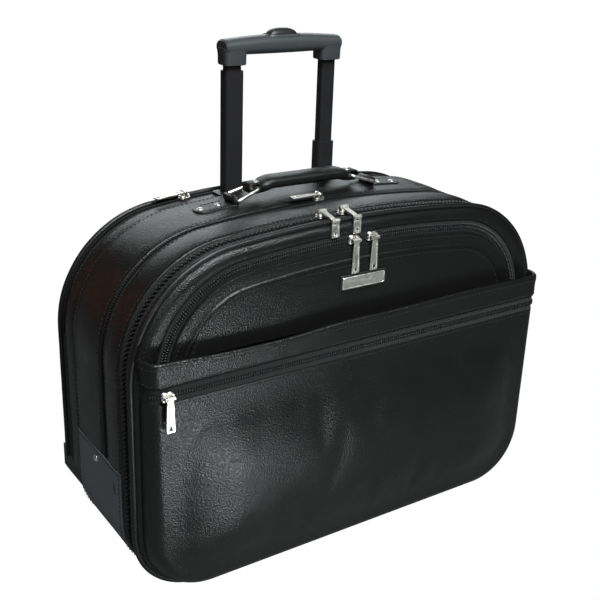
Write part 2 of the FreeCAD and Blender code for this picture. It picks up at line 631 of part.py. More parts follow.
def build_pocket():
    """The front pocket: swelling panel, hem, its zip's tape and the sheet behind them."""
    wires = [pocket_station(*station) for station in POCKET_STATIONS]
    panel = Part.makeLoft(wires, True, True)
    inner_y = POCKET_FRONT_Y + POCKET_SKIN
    zip_low = POCKET_ZIP_Z - POCKET_TAPE_HALF
    corner_z = POCKET_SPACE_FLOOR + POCKET_CORNER_R
    space = box(-POCKET_SPACE_X, POCKET_SPACE_X, inner_y, 0, corner_z, BEYOND)
    narrow = POCKET_SPACE_X - POCKET_CORNER_R
    foot = box(-narrow, narrow, inner_y, 0, POCKET_SPACE_FLOOR, BEYOND)
    corner = cylinder(POCKET_CORNER_R, (narrow, inner_y, corner_z), (narrow, 0, corner_z))
    for solid in [space, foot] + both_sides(corner):
        panel = panel.cut(solid)
    pouch = box(-ZIP_POCKET_X, ZIP_POCKET_X, inner_y - ZIP_POCKET_DEPTH, 0, ZIP_POCKET_Z[0], ZIP_POCKET_Z[1])
    save("pocket_panel", panel.cut(pouch))
    zip_high = POCKET_ZIP_Z + POCKET_TAPE_HALF
    tape = pocket_band(zip_low, zip_high, TAPE_RECESS)
    teeth = pocket_band(POCKET_ZIP_Z - TEETH_WIDTH, POCKET_ZIP_Z + TEETH_WIDTH, TAPE_RECESS - TEETH_HEIGHT)
    save("pocket_zip_tape", tape.fuse(teeth).removeSplitter())
    save("pocket_hem", pocket_band(zip_high, POCKET_TOP_Z, 0.0))
    sheet_x = POCKET_SPACE_X - DIVIDER_SIDE_GAP
    sheet_back = inner_y + DIVIDER_THICKNESS
    save("pocket_divider", box(-sheet_x, sheet_x, inner_y, sheet_back, corner_z, DIVIDER_TOP_Z))


def slider_parts(length_x, length_y):
    """A zip slider about the origin, with a hinge rod along X above a zip that faces +Z at Z = 0."""
    body = box(-length_x / 2, length_x / 2, -length_y / 2, length_y / 2, FIT_GAP, FIT_GAP + SLIDER_THICKNESS)
    edges = [e for e in body.Edges if e.BoundBox.ZLength > SLIDER_THICKNESS / 2]
    body = body.makeFillet(SLIDER_CORNER_R, edges)
    outer = EAR_SPAN / 2
    inner = outer - EAR_THICKNESS
    for side in (-1, 1):
        near, far = sorted((side * inner, side * outer))
        ear = box(near, far, -EAR_R, EAR_R, FIT_GAP + SLIDER_THICKNESS - JOIN_OVERLAP, ROD_Z)
        body = body.fuse(ear).fuse(cylinder(EAR_R, (near, 0, ROD_Z), (far, 0, ROD_Z)))
    rod = cylinder(ROD_R, (-inner - JOIN_OVERLAP, 0, ROD_Z), (inner + JOIN_OVERLAP, 0, ROD_Z))
    return body.fuse(rod).removeSplitter()


def flat_bar(half_width, near, far):
    """A flat strip along -Y about the plane Z = 0, with its far corners rounded."""
    half_t = PULL_THICKNESS / 2
    bar = box(-half_width, half_width, -far, -near, -half_t, half_t)
    edges = [e for e in bar.Edges if e.BoundBox.ZLength > half_t and e.BoundBox.YMax < -near]
    return bar.makeFillet(min(PULL_CORNER_R, half_width / 2), edges)


def eye(half_length, y=0.0):
    """A rolled eye around a rod along X."""
    return cylinder(EYE_R, (-half_length, y, 0), (half_length, y, 0))


def eye_bore(y=0.0):
    """The bore of a rolled eye, with running room around its rod."""
    return cylinder(ROD_R + BORE_GAP, (-PULL_WIDTH, y, 0), (PULL_WIDTH, y, 0))


def pull_hole(length):
    """The round hole near the end of a pull."""
    y = PULL_HOLE_INSET - length
    return cylinder(PULL_HOLE_R, (0, y, -EYE_R), (0, y, EYE_R))


def plain_pull():
    """A flat pull with a rolled eye, which lies along -Y from a rod at the origin."""
    half = EAR_SPAN / 2 - EAR_THICKNESS - EYE_SIDE_GAP
    neck = flat_bar(half, 0, PULL_NECK + PULL_NECK_OVERLAP)
    pull = eye(half).fuse(neck).fuse(flat_bar(PULL_WIDTH / 2, PULL_NECK, PULL_LENGTH))
    return pull.removeSplitter().cut(pull_hole(PULL_LENGTH)).cut(eye_bore())


def link():
    """The short link between a main slider's rod and its pull, with a rolled eye at both ends."""
    half = EAR_SPAN / 2 - EAR_THICKNESS - EYE_SIDE_GAP
    wide = eye(half).fuse(flat_bar(half, 0, LINK_LENGTH - LINK_WAIST))
    whole = wide.fuse(flat_bar(LINK_EYE_HALF, 0, LINK_LENGTH)).fuse(eye(LINK_EYE_HALF, -LINK_LENGTH))
    return whole.removeSplitter().cut(eye_bore()).cut(eye_bore(-LINK_LENGTH))


def forked_pull():
    """A pull whose top is a fork with a rod, so that it hangs on a link's narrow eye."""
    fork_half = LINK_EYE_HALF + EYE_SIDE_GAP
    pull = flat_bar(PULL_WIDTH / 2, -EAR_R, MAIN_PULL_LENGTH)
    for side in (-1, 1):
        near, far = sorted((side * fork_half, side * PULL_WIDTH / 2))
        pull = pull.fuse(cylinder(EAR_R, (near, 0, 0), (far, 0, 0)))
    reach = EYE_R + OVERRUN
    pull = pull.cut(box(-fork_half, fork_half, -reach, reach, -reach, reach))
    pull = pull.fuse(cylinder(ROD_R, (-fork_half - JOIN_OVERLAP, 0, 0), (fork_half + JOIN_OVERLAP, 0, 0)))
    return pull.removeSplitter().cut(pull_hole(MAIN_PULL_LENGTH))


def turned(shape, axis, degrees):
    """A copy of the shape, turned about a line through the origin."""
    copy = shape.copy()
    copy.rotate(V(0, 0, 0), V(*axis), degrees)
    return copy


def arch_line_z(x):
    """Height of the arched zip's line at one place across its width."""
    radius = top_radius(ARCH_ZIP_X, ARCH_ZIP_CORNER_R, ARCH_CROWN)
    return ARCH_ZIP_TOP_Z - radius + math.sqrt(radius ** 2 - x ** 2)


def on_top(shape, x, y, inset=0.0, drop=0.0):
    """The shape set on the case's top arc, square to it."""
    radius = top_radius(HALF_WIDTH - inset, TOP_CORNER_R - inset, TOP_CROWN)
    copy = turned(shape, (0, 1, 0), math.degrees(math.asin(x / radius)))
    return moved(copy, x, y, surface_z(x, inset, drop))


def build_front_zips():
    """Sliders and pulls of the arched zip and of the front pocket's zip."""
    slider = slider_parts(SLIDER_LENGTH, SLIDER_WIDTH)
    parts = (("slider", turned(slider, (1, 0, 0), 90)),
             ("pull", turned(moved(plain_pull(), z=ROD_Z), (1, 0, 0), 90)))
    for name, part in parts:
        for side, x in zip(("left", "right"), ARCH_SLIDER_X):
            save("arch_%s_%s" % (side, name), moved(part, x, POCKET_SEAT_Y + 1, arch_line_z(x)))
        save("pocket_" + name, moved(part, POCKET_SLIDER_X, POCKET_FRONT_Y, POCKET_ZIP_Z))


def build_top_zips():
    """Sliders of the three zips over the top, with their pulls and the main zip's links."""
    slider = slider_parts(SLIDER_LENGTH, SLIDER_WIDTH)
    chain = moved(turned(link(), (1, 0, 0), LINK_SLOPE_DEG), z=ROD_Z)
    slope = math.radians(LINK_SLOPE_DEG)
    hang = moved(turned(forked_pull(), (1, 0, 0), 90), 0, -LINK_LENGTH * math.cos(slope),
                 ROD_Z - LINK_LENGTH * math.sin(slope))
    for side, x in zip(("left", "right"), MAIN_SLIDER_X):
        for name, part in (("slider", slider), ("link", chain), ("pull", hang)):
            save("main_%s_%s" % (side, name), on_top(part, x, MAIN_ZIP_Y))
    parts = (("slider", turned(slider_parts(SLIDER_WIDTH, SLIDER_LENGTH), (0, 0, 1), -90)),
             ("pull", turned(moved(plain_pull(), z=ROD_Z), (0, 0, 1), -90)))
    rear_y = REAR_TAPE_END_Y - PIPING_R - FIT_GAP - SLIDER_WIDTH / 2
    for name, part in parts:
        save("second_" + name, on_top(part, SECOND_SLIDER_X, SECOND_ZIP_Y))
        save("rear_" + name, on_top(part, REAR_SLIDER_X, rear_y, BACK_INSET, BACK_DROP))


def ball(radius, centre):
    """A round knuckle where two lengths of wire meet."""
    return Part.makeSphere(radius, V(*centre))


def build_handle():
    """The padded carry handle, the two rings that lift with it and their chapes."""
    pivot_z = surface_z(RING_PIVOT_X) + CHAPE_THICKNESS + CHAPE_EYE_R - CHAPE_EYE_SINK
    half = CHAPE_WIDTH / 2
    y0, y1 = HANDLE_Y - half, HANDLE_Y + half
    strip = slab(y0, y1, -CHAPE_THICKNESS).cut(slab(y0, y1))
    strip = strip.common(box(RING_PIVOT_X - CHAPE_EYE_R, CHAPE_OUTER_X, y0, y1, BODY_HEIGHT / 2, BEYOND))
    ends = ((RING_PIVOT_X, y0, pivot_z), (RING_PIVOT_X, y1, pivot_z))
    chape = strip.fuse(cylinder(CHAPE_EYE_R, *ends).cut(slab(y0, y1))).removeSplitter()
    chape = chape.cut(cylinder(RING_WIRE_R + BORE_GAP, *ends))
    save("handle_chapes", *both_sides(chape))

    angle = math.radians(RING_REST_DEG)
    end_x = RING_PIVOT_X - RING_LENGTH * math.cos(angle)
    end_z = pivot_z + RING_LENGTH * math.sin(angle)
    corners = [
        (RING_PIVOT_X, HANDLE_Y - RING_PIVOT_HALF, pivot_z),
        (RING_PIVOT_X, HANDLE_Y + RING_PIVOT_HALF, pivot_z),
        (end_x, HANDLE_Y + RING_END_HALF, end_z),
        (end_x, HANDLE_Y - RING_END_HALF, end_z),
    ]
    wire = ball(RING_WIRE_R, corners[0])
    for i, corner in enumerate(corners):
        wire = wire.fuse(cylinder(RING_WIRE_R, corners[i - 1], corner)).fuse(ball(RING_WIRE_R, corner))
    right, left = both_sides(wire.removeSplitter())
    save("right_handle_ring", right)
    save("left_handle_ring", left)

    top_z = HANDLE_UNDERSIDE_Z + HANDLE_HEIGHT
    grip = box(-HANDLE_HALF_LENGTH, HANDLE_HALF_LENGTH, HANDLE_Y - HANDLE_WIDTH / 2,
               HANDLE_Y + HANDLE_WIDTH / 2, HANDLE_UNDERSIDE_Z, top_z)
    grip = grip.makeFillet(HANDLE_ROUNDING, [e for e in grip.Edges if e.BoundBox.XLength > HANDLE_WIDTH])
    y0, y1 = HANDLE_Y - HANDLE_END_WIDTH / 2, HANDLE_Y + HANDLE_END_WIDTH / 2
    half_h = HANDLE_END_HEIGHT / 2
    loop = box(-HANDLE_END_X, HANDLE_END_X, y0, y1, end_z - half_h, end_z + half_h)
    under_x = HANDLE_HALF_LENGTH - HANDLE_END_OVERLAP
    handle = grip.fuse(loop.cut(box(-under_x, under_x, y0, y1, 0, HANDLE_UNDERSIDE_Z))).removeSplitter()
    half_h = LOOP_SLOT_HEIGHT / 2
    slot = box(LOOP_SLOT_X[0], LOOP_SLOT_X[1], y0, y1, end_z - half_h, end_z + half_h)
    for solid in both_sides(slot):
        handle = handle.cut(solid)
    save("carry_handle", handle)


os.makedirs("parts", exist_ok=True)
build_case()
build_backs()
build_guards_and_feet()
build_wheels()
build_trolley()
build_lid()
build_flap()
build_pocket()
build_front_zips()
build_top_zips()
build_handle()
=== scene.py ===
import math

import bmesh
import bpy
import numpy as np
from mathutils import Matrix, Vector, noise
from mathutils.kdtree import KDTree


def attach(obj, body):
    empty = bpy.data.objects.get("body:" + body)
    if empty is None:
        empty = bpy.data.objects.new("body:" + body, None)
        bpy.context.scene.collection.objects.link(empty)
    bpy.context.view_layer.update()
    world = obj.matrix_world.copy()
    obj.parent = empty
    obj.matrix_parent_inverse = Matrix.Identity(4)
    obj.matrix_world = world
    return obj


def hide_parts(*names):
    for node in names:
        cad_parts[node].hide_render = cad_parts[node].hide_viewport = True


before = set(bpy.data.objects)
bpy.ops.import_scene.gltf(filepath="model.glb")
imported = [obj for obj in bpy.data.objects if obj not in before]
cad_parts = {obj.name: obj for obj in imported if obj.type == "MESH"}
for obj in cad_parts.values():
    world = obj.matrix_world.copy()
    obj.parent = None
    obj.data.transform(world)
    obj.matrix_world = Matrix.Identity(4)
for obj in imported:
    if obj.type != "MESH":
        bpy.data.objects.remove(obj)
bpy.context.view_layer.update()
MM = 0.001

# Outline of the case, in millimetres, as in the frame
HALF_WIDTH = 220.0
LOW_Z = 10.0
HIGH_Z = 326.5
TOP_CORNER = 106.8
LOW_CORNER = 63.5
CROWN = 6.4
WALL = 4.0
BACK_INSET = 1.5
BACK_DROP = 4.0

# Stations along the depth
PIPING_Y = -73.0
MAIN_ZIP_Y = -60.0
SECOND_ZIP_Y = -15.0
REAR_PIPING_Y = 82.0
FLAP_SEAM_Z = 205.0

# Front of the lid
ARCH_X = 195.0
ARCH_TOP = 309.0
ARCH_CORNER = 88.0
FLAP_LOW_Z = 232.0
SEAT_Y = -79.0
POCKET_Y = -96.0
POCKET_HALF = 215.0
POCKET_TURN = 204.0
POCKET_LOW_Z = 14.0
POCKET_CORNER = 60.0
POCKET_TOP = 242.0
POCKET_ZIP_Z = 213.0


def lerp(a, b, t):
    """The value a share t of the way from a to b."""
    return a + (b - a) * t


def smooth(t):
    """Eased step from 0 to 1."""
    t = min(max(t, 0.0), 1.0)
    return t * t * (3 - 2 * t)


def bulge(value, power):
    """A sine or cosine raised to a power with its sign kept, for rounded oblongs."""
    return math.copysign(abs(value) ** power, value)


def dome(t):
    """Quarter-round rise from 0 to 1, steep at its start."""
    t = min(max(t, 0.0), 1.0)
    return math.sqrt(1 - (1 - t) ** 2)


def arc_points(cx, cz, r, a0, a1, count):
    """Points along an arc with their outward normals."""
    out = []
    for i in range(count):
        a = lerp(a0, a1, i / count)
        out.append((cx + r * math.cos(a), cz + r * math.sin(a), math.cos(a), math.sin(a)))
    return out


def line_points(x0, z0, x1, z1, nx, nz, count):
    """Points along a straight side with their outward normal."""
    return [(lerp(x0, x1, i / count), lerp(z0, z1, i / count), nx, nz) for i in range(count)]


def arch(half, low, high, low_r, top_r, crown=CROWN):
    """Closed outline seen from the front, counter-clockwise from the middle of the base.

    Rows are x, z and the outward normal, with the same count of points for every outline.
    """
    run = half - top_r
    corner_z = high - crown - top_r
    drop = -crown - top_r
    big_r = (top_r ** 2 - run ** 2 - drop ** 2) / (2 * drop + 2 * top_r)
    big_z = high - big_r
    lean = math.atan2(corner_z - big_z, run)
    base = half - low_r
    quarter = math.pi / 2
    rows = line_points(0, low, base, low, 0, -1, 40)
    rows += arc_points(base, low + low_r, low_r, -quarter, 0, 30)
    rows += line_points(half, low + low_r, half, corner_z, 1, 0, 40)
    rows += arc_points(run, corner_z, top_r, 0, lean, 46)
    rows += arc_points(0, big_z, big_r, lean, math.pi - lean, 84)
    rows += arc_points(-run, corner_z, top_r, math.pi - lean, math.pi, 46)
    rows += line_points(-half, corner_z, -half, low + low_r, -1, 0, 40)
    rows += arc_points(-base, low + low_r, low_r, math.pi, 1.5 * math.pi, 30)
    rows += line_points(-base, low, 0, low, 0, -1, 40)
    return np.array(rows)


def case_line(inset=0.0, drop=0.0):
    """The case's own outline, moved inwards."""
    return arch(HALF_WIDTH - inset, LOW_Z + inset, HIGH_Z - inset - drop, LOW_CORNER - inset,
                TOP_CORNER - inset)


def arch_line(offset=0.0, low=24.0):
    """The arched zip's outline, moved outwards."""
    return arch(ARCH_X + offset, low, ARCH_TOP + offset, 46.0, ARCH_CORNER + offset)


CASE = case_line()
REAR = case_line(BACK_INSET, BACK_DROP)


def as_piece(obj, body, slot, swap):
    """Give a finished mesh its body and hide the nodes that it stands for; slot is not used."""
    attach(obj, body)
    if swap:
        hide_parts(*swap)
    return obj


def new_object(name, verts, faces, body, slot, material, sharp=None, swap=()):
    """A mesh object in metres from millimetre points, riding on a body."""
    mesh = bpy.data.meshes.new(name)
    mesh.from_pydata([tuple(c * MM for c in v) for v in verts], [], faces)
    mesh.validate()
    obj = bpy.data.objects.new(name, mesh)
    bpy.context.scene.collection.objects.link(obj)
    clean(obj)
    if sharp is not None:
        smooth_by_angle(obj, sharp)
    mesh.materials.append(material)
    return as_piece(obj, body, slot, swap)


def clean(obj):
    """Weld doubles and point every face outwards."""
    bm = bmesh.new()
    bm.from_mesh(obj.data)
    bmesh.ops.remove_doubles(bm, verts=bm.verts, dist=1e-6)
    bmesh.ops.recalc_face_normals(bm, faces=bm.faces)
    bm.to_mesh(obj.data)
    bm.free()


def smooth_by_angle(obj, degrees):
    """Smooth shading with edges sharper than the angle kept crisp."""
    mesh = obj.data
    for polygon in mesh.polygons:
        polygon.use_smooth = True
    mesh.set_sharp_from_angle(angle=math.radians(degrees))


def join(name, objects, body, slot, swap=()):
    """Several meshes as one piece, which keeps each part's material."""
    verts, faces, mats, uses, smooths = [], [], [], [], []
    sharp = []
    for obj in objects:
        mesh = obj.data
        base = len(verts)
        verts += [tuple(v.co) for v in mesh.vertices]
        for polygon in mesh.polygons:
            faces.append([base + i for i in polygon.vertices])
            material = mesh.materials[polygon.material_index]
            if material not in mats:
                mats.append(material)
            uses.append(mats.index(material))
            smooths.append(polygon.use_smooth)
        mesh_sharp = mesh.attributes.get("sharp_edge")
        if mesh_sharp:
            for edge, flag in zip(mesh.edges, mesh_sharp.data):
                if flag.value:
                    sharp.append(tuple(sorted(base + i for i in edge.vertices)))
        bpy.data.objects.remove(obj)
    mesh = bpy.data.meshes.new(name)
    mesh.from_pydata(verts, [], faces)
    for material in mats:
        mesh.materials.append(material)
    mesh.polygons.foreach_set("material_index", uses)
    mesh.polygons.foreach_set("use_smooth", smooths)
    if sharp:
        wanted = set(sharp)
        layer = mesh.attributes.new("sharp_edge", "BOOLEAN", "EDGE")
        for i, edge in enumerate(mesh.edges):
            layer.data[i].value = tuple(sorted(edge.vertices)) in wanted
    mesh.update()
    obj = bpy.data.objects.new(name, mesh)
    bpy.context.scene.collection.objects.link(obj)
    return as_piece(obj, body, slot, swap)


def loose(name, verts, faces, material, sharp=35):
    """A mesh that will be joined into a piece."""
    mesh = bpy.data.meshes.new(name)
    mesh.from_pydata([tuple(c * MM for c in v) for v in verts], [], faces)
    obj = bpy.data.objects.new(name, mesh)
    bpy.context.scene.collection.objects.link(obj)
    clean(obj)
    smooth_by_angle(obj, sharp)
    mesh.materials.append(material)
    return obj


# Cloth simulation of the padded leather

CLOTH_FRAMES = 20
CLOTH_VOXEL = 5.5
CLOTH_SETTINGS = {"quality": 5, "mass": 0.5, "tension_stiffness": 25.0, "compression_stiffness": 25.0,
                  "shear_stiffness": 12.0, "bending_stiffness": 3.0, "shrink_min": -0.004,
                  "use_pressure": True, "uniform_pressure_force": 4.0, "vertex_group_mass": "sewn"}
NEAREST = 7
FACES_BACK = 0.5


def evaluated_mesh(obj):
    """A copy of an object's mesh with its modifiers applied."""
    return bpy.data.meshes.new_from_object(obj.evaluated_get(bpy.context.evaluated_depsgraph_get()))


def cloth_movement(body, free):
    """Points of a closed body before its simulation as cloth, and how far each one moves."""
    start = np.array([v.co for v in body.data.vertices])
    sewn = body.vertex_groups.new(name=CLOTH_SETTINGS["vertex_group_mass"])
    for i, place in enumerate(start / MM):
        sewn.add([i], 1.0 - free(*place), "REPLACE")
    cloth = body.modifiers.new("cloth", "CLOTH")
    cloth.collision_settings.use_collision = False
    cloth.collision_settings.use_self_collision = False
    cloth.point_cache.frame_start, cloth.point_cache.frame_end = 1, CLOTH_FRAMES
    for setting, value in CLOTH_SETTINGS.items():
        setattr(cloth.settings, setting, value)
    cloth.settings.effector_weights.gravity = 0.0
    for frame_number in range(1, CLOTH_FRAMES + 1):
        bpy.context.scene.frame_set(frame_number)
    puffed = body.evaluated_get(bpy.context.evaluated_depsgraph_get()).data
    return start, np.array([v.co for v in puffed.vertices]) - start


def stuffed(skin, free, cap, voxel=CLOTH_VOXEL, thicker=0.0):
    """Puff a closed skin as cloth and carry the movement, capped, back to its own points.

    free gives from 0, sewn down, to 1, free to move, for a place in millimetres. The simulated body is the
    skin with the side that faces the back moved further back by thicker, for a filling deeper than leather.
    """
    body = bpy.data.objects.new("cloth_body", skin.data.copy())
    bpy.context.scene.collection.objects.link(body)
    for vertex in body.data.vertices:
        if thicker and vertex.normal.y > FACES_BACK:
            vertex.co.y += thicker * MM
    voxels = body.modifiers.new("voxels", "REMESH")
    voxels.mode = "VOXEL"
    voxels.voxel_size = voxel * MM
    solid = evaluated_mesh(body)
    body.modifiers.clear()
    body.data = solid
    start, moved = cloth_movement(body, free)
    tree = KDTree(len(start))
    for i, place in enumerate(start):
        tree.insert(place, i)
    tree.balance()
    for vertex in skin.data.vertices:
        near = tree.find_n(vertex.co, NEAREST)
        weights = np.array([1.0 / (distance + 0.3 * voxel * MM) ** 2 for place, i, distance in near])
        step = np.average([moved[i] for place, i, distance in near], axis=0, weights=weights)
        step *= free(*(vertex.co / MM))
        size = np.linalg.norm(step)
        if size > 1e-9:
            step *= cap * MM * math.tanh(size / (cap * MM)) / size
        vertex.co = vertex.co + Vector(step)
    skin.data.update()
    bpy.context.scene.frame_set(1)
    bpy.data.objects.remove(body)


def grid_faces(rows, cols, wrap_rows=False, wrap_cols=False):
    """Quads of a grid of points in row order."""
    faces = []
    for r in range(rows if wrap_rows else rows - 1):
        for c in range(cols if wrap_cols else cols - 1):
            a = r * cols + c
            b = r * cols + (c + 1) % cols
            d = ((r + 1) % rows) * cols + c
            e = ((r + 1) % rows) * cols + (c + 1) % cols
            faces.append((a, b, e, d))
    return faces


def closed_sheet(size, cols):
    """Faces of two equal grids of points, front and back, joined round their rim."""
    rows = size // cols
    faces = grid_faces(rows, cols)
    faces += [tuple(size + i for i in reversed(face)) for face in grid_faces(rows, cols)]
    rim = list(range(cols)) + [r * cols + cols - 1 for r in range(1, rows)]
    rim += [(rows - 1) * cols + c for c in range(cols - 2, -1, -1)]
    rim += [r * cols for r in range(rows - 2, 0, -1)]
    for i, a in enumerate(rim):
        b = rim[(i + 1) % len(rim)]
        faces.append((a, b, size + b, size + a))
    return faces


def sweep(line, profile, wobble=None, closed=True):
    """Points and faces of a closed profile of (depth, offset) carried round an outline."""
    verts = []
    for x, z, nx, nz in line:
        for y, off in profile:
            extra = wobble(x, y, z, off) if wobble else 0.0
            verts.append((x + nx * (off + extra), y, z + nz * (off + extra)))
    return verts, grid_faces(len(line), len(profile), wrap_rows=closed, wrap_cols=True)


def rounded_band(y0, y1, puff, wall, edge=1.6, tuck=1.2, steps=10):
    """Closed profile of a leather strip: crowned outside, edges turned in, flat inside."""
    pts = []
    for i in range(steps + 1):
        t = i / steps
        y = lerp(y0 + edge, y1 - edge, t)
        pts.append((y, puff * math.sin(math.pi * t) ** 0.8))
    for k in (1, 2, 3):
        a = k / 3 * math.pi / 2
        pts.append((y1 - edge + edge * math.sin(a), -tuck * (1 - math.cos(a))))
    pts.append((y1, -wall))
    pts.append((y0, -wall))
    for k in (3, 2, 1):
        a = k / 3 * math.pi / 2
        pts.append((y0 + edge - edge * math.sin(a), -tuck * (1 - math.cos(a))))
    return pts


def soft_wobble(amount, scale, seed=0.0):
    """Slow unevenness of a soft surface, only where it faces out."""
    def value(x, y, z, off):
        if off < -WALL / 2:
            return 0.0
        place = Vector((x * scale + seed, y * scale, z * scale))
        return amount * (noise.noise(place) + 0.5 * noise.noise(place * 2.3)) - 0.3 * amount
    return value


# Materials

def shader(name, color, roughness, metallic=0.0, sheen=0.0, shine=0.5):
    """A plain surface with its values set on the sockets."""
    material = bpy.data.materials.new(name)
    material.use_nodes = True
    surface = material.node_tree.nodes["Principled BSDF"]
    surface.inputs["Base Color"].default_value = (color[0], color[1], color[2], 1.0)
    surface.inputs["Roughness"].default_value = roughness
    surface.inputs["Metallic"].default_value = metallic
    surface.inputs["Sheen Weight"].default_value = sheen
    surface.inputs["Specular IOR Level"].default_value = shine
    return material


def texture(material, kind, scale, stretch=(1, 1, 1), **settings):
    """A procedural texture in the object's own coordinates."""
    tree = material.node_tree
    place = tree.nodes.new("ShaderNodeTexCoord")
    shift = tree.nodes.new("ShaderNodeMapping")
    shift.inputs["Scale"].default_value = stretch
    made = tree.nodes.new(kind)
    made.inputs["Scale"].default_value = scale
    for key, value in settings.items():
        made.inputs[key].default_value = value
    tree.links.new(place.outputs["Object"], shift.inputs["Vector"])
    tree.links.new(shift.outputs["Vector"], made.inputs["Vector"])
    return made


def relief(material, output, strength, distance):
    """Adds one layer of fine relief on top of those that are there."""
    tree = material.node_tree
    surface = tree.nodes["Principled BSDF"]
    bump = tree.nodes.new("ShaderNodeBump")
    bump.inputs["Strength"].default_value = strength
    bump.inputs["Distance"].default_value = distance
    tree.links.new(output, bump.inputs["Height"])
    if surface.inputs["Normal"].links:
        tree.links.new(surface.inputs["Normal"].links[0].from_socket, bump.inputs["Normal"])
    tree.links.new(bump.outputs["Normal"], surface.inputs["Normal"])


def vary(material, socket, output, low, high):
    """Lets a texture move one value of the surface between low and high."""
    tree = material.node_tree
    spread = tree.nodes.new("ShaderNodeMapRange")
    spread.inputs["From Min"].default_value = 0.3
    spread.inputs["From Max"].default_value = 0.7
    spread.inputs["To Min"].default_value = low
    spread.inputs["To Max"].default_value = high
    tree.links.new(output, spread.inputs["Value"])
    tree.links.new(spread.outputs["Result"], tree.nodes["Principled BSDF"].inputs[socket])


def leather(name, color, roughness, grain=760.0, depth=0.00022):
    """Grained leather: pebbles, fine pores and slow creases."""
    made = shader(name, color, roughness, shine=0.3)
    slow = texture(made, "ShaderNodeTexNoise", 22.0, Detail=4.0)
    relief(made, slow.outputs["Fac"], 0.22, 0.001)
    pebbles = texture(made, "ShaderNodeTexVoronoi", grain, Randomness=1.0)
    relief(made, pebbles.outputs["Distance"], 0.7, depth * 1.8)
    pores = texture(made, "ShaderNodeTexNoise", grain * 2.2, Detail=3.0)
    relief(made, pores.outputs["Fac"], 0.35, depth * 0.5)
    patches = texture(made, "ShaderNodeTexNoise", 38.0, Detail=2.0)
    vary(made, "Roughness", patches.outputs["Fac"], roughness - 0.02, roughness + 0.07)
    return made


def woven(name, color, roughness, pitch=1500.0):
    """Woven cloth or tape."""
    made = shader(name, color, roughness, sheen=0.05, shine=0.2)
    one = texture(made, "ShaderNodeTexWave", pitch, (1, 1, 0.6), Distortion=0.6)
    relief(made, one.outputs["Fac"], 0.6, 0.0002)
    two = texture(made, "ShaderNodeTexNoise", pitch * 1.5, Detail=2.0)
    relief(made, two.outputs["Fac"], 0.5, 0.0002)
    return made


def worn_metal(name, color, roughness, brushed=1400.0):
    """Plated metal with fine brushing and cloudy wear."""
    made = shader(name, color, roughness, metallic=1.0)
    lines = texture(made, "ShaderNodeTexNoise", brushed, (0.06, 1, 1), Detail=2.0)
    relief(made, lines.outputs["Fac"], 0.12, 0.00008)
    cloud = texture(made, "ShaderNodeTexNoise", 240.0, Detail=5.0)
    vary(made, "Roughness", cloud.outputs["Fac"], roughness - 0.06, roughness + 0.14)
    return made


def grained_plastic(name, color, roughness, scale=2600.0):
    """Moulded plastic with a fine matt grain."""
    made = shader(name, color, roughness, shine=0.3)
    fine = texture(made, "ShaderNodeTexNoise", scale, Detail=2.0)
    relief(made, fine.outputs["Fac"], 0.3, 0.00012)
    return made


LEATHER = leather("leather_black", (0.0052, 0.005, 0.0049), 0.29)
PLAIN_LEATHER = leather("leather_smooth", (0.0056, 0.0053, 0.0052), 0.36, 1250.0, 0.00012)
GUARD_LEATHER = leather("leather_guard", (0.12, 0.13, 0.145), 0.45, 1100.0, 0.00014)
WELT_LEATHER = leather("leather_welt", (0.005, 0.0048, 0.0048), 0.34, 1500.0, 0.0001)
TAPE = woven("tape_black", (0.0075, 0.0073, 0.0073), 0.78)
COIL = grained_plastic("coil_black", (0.008, 0.008, 0.008), 0.33)
THREAD = woven("thread_black", (0.012, 0.0115, 0.0115), 0.6, 3200.0)
PALE_THREAD = woven("thread_pale", (0.62, 0.6, 0.56), 0.6, 3200.0)
LINING = woven("lining_grey", (0.035, 0.036, 0.039), 0.82, 900.0)
NICKEL = worn_metal("nickel_plate", (0.74, 0.72, 0.67), 0.34)
STEEL = worn_metal("steel_bare", (0.5, 0.5, 0.5), 0.32)
PAINTED = grained_plastic("tube_paint", (0.013, 0.0125, 0.013), 0.3)
PLASTIC = grained_plastic("plastic_grey", (0.032, 0.034, 0.035), 0.42)
BLACK_PLASTIC = grained_plastic("plastic_black", (0.0085, 0.0085, 0.0085), 0.42)
RUBBER = grained_plastic("rubber_black", (0.012, 0.012, 0.012), 0.62)


# Threads and zip teeth

def along(points, normals, pitch, closed=False, shift=0.5):
    """Evenly spaced places on a path, with the path's direction and its normal there."""
    p, n = np.array(points, float), np.array(normals, float)
    if closed:
        p, n = np.vstack([p, p[:1]]), np.vstack([n, n[:1]])
    run = np.concatenate([[0], np.cumsum(np.linalg.norm(np.diff(p, axis=0), axis=1))])
    count = max(int(round(run[-1] / pitch)), 1)
    at = (np.arange(count) + shift) / count * run[-1]

    def pick(rows, places):
        return np.stack([np.interp(places, run, rows[:, k]) for k in range(3)], 1)
    way = pick(p, np.minimum(at + 0.6, run[-1])) - pick(p, np.maximum(at - 0.6, 0))
    way /= np.linalg.norm(way, axis=1)[:, None]
    up = pick(n, at)
    up -= way * (up * way).sum(1)[:, None]
    up /= np.linalg.norm(up, axis=1)[:, None]
    return pick(p, at), way, up


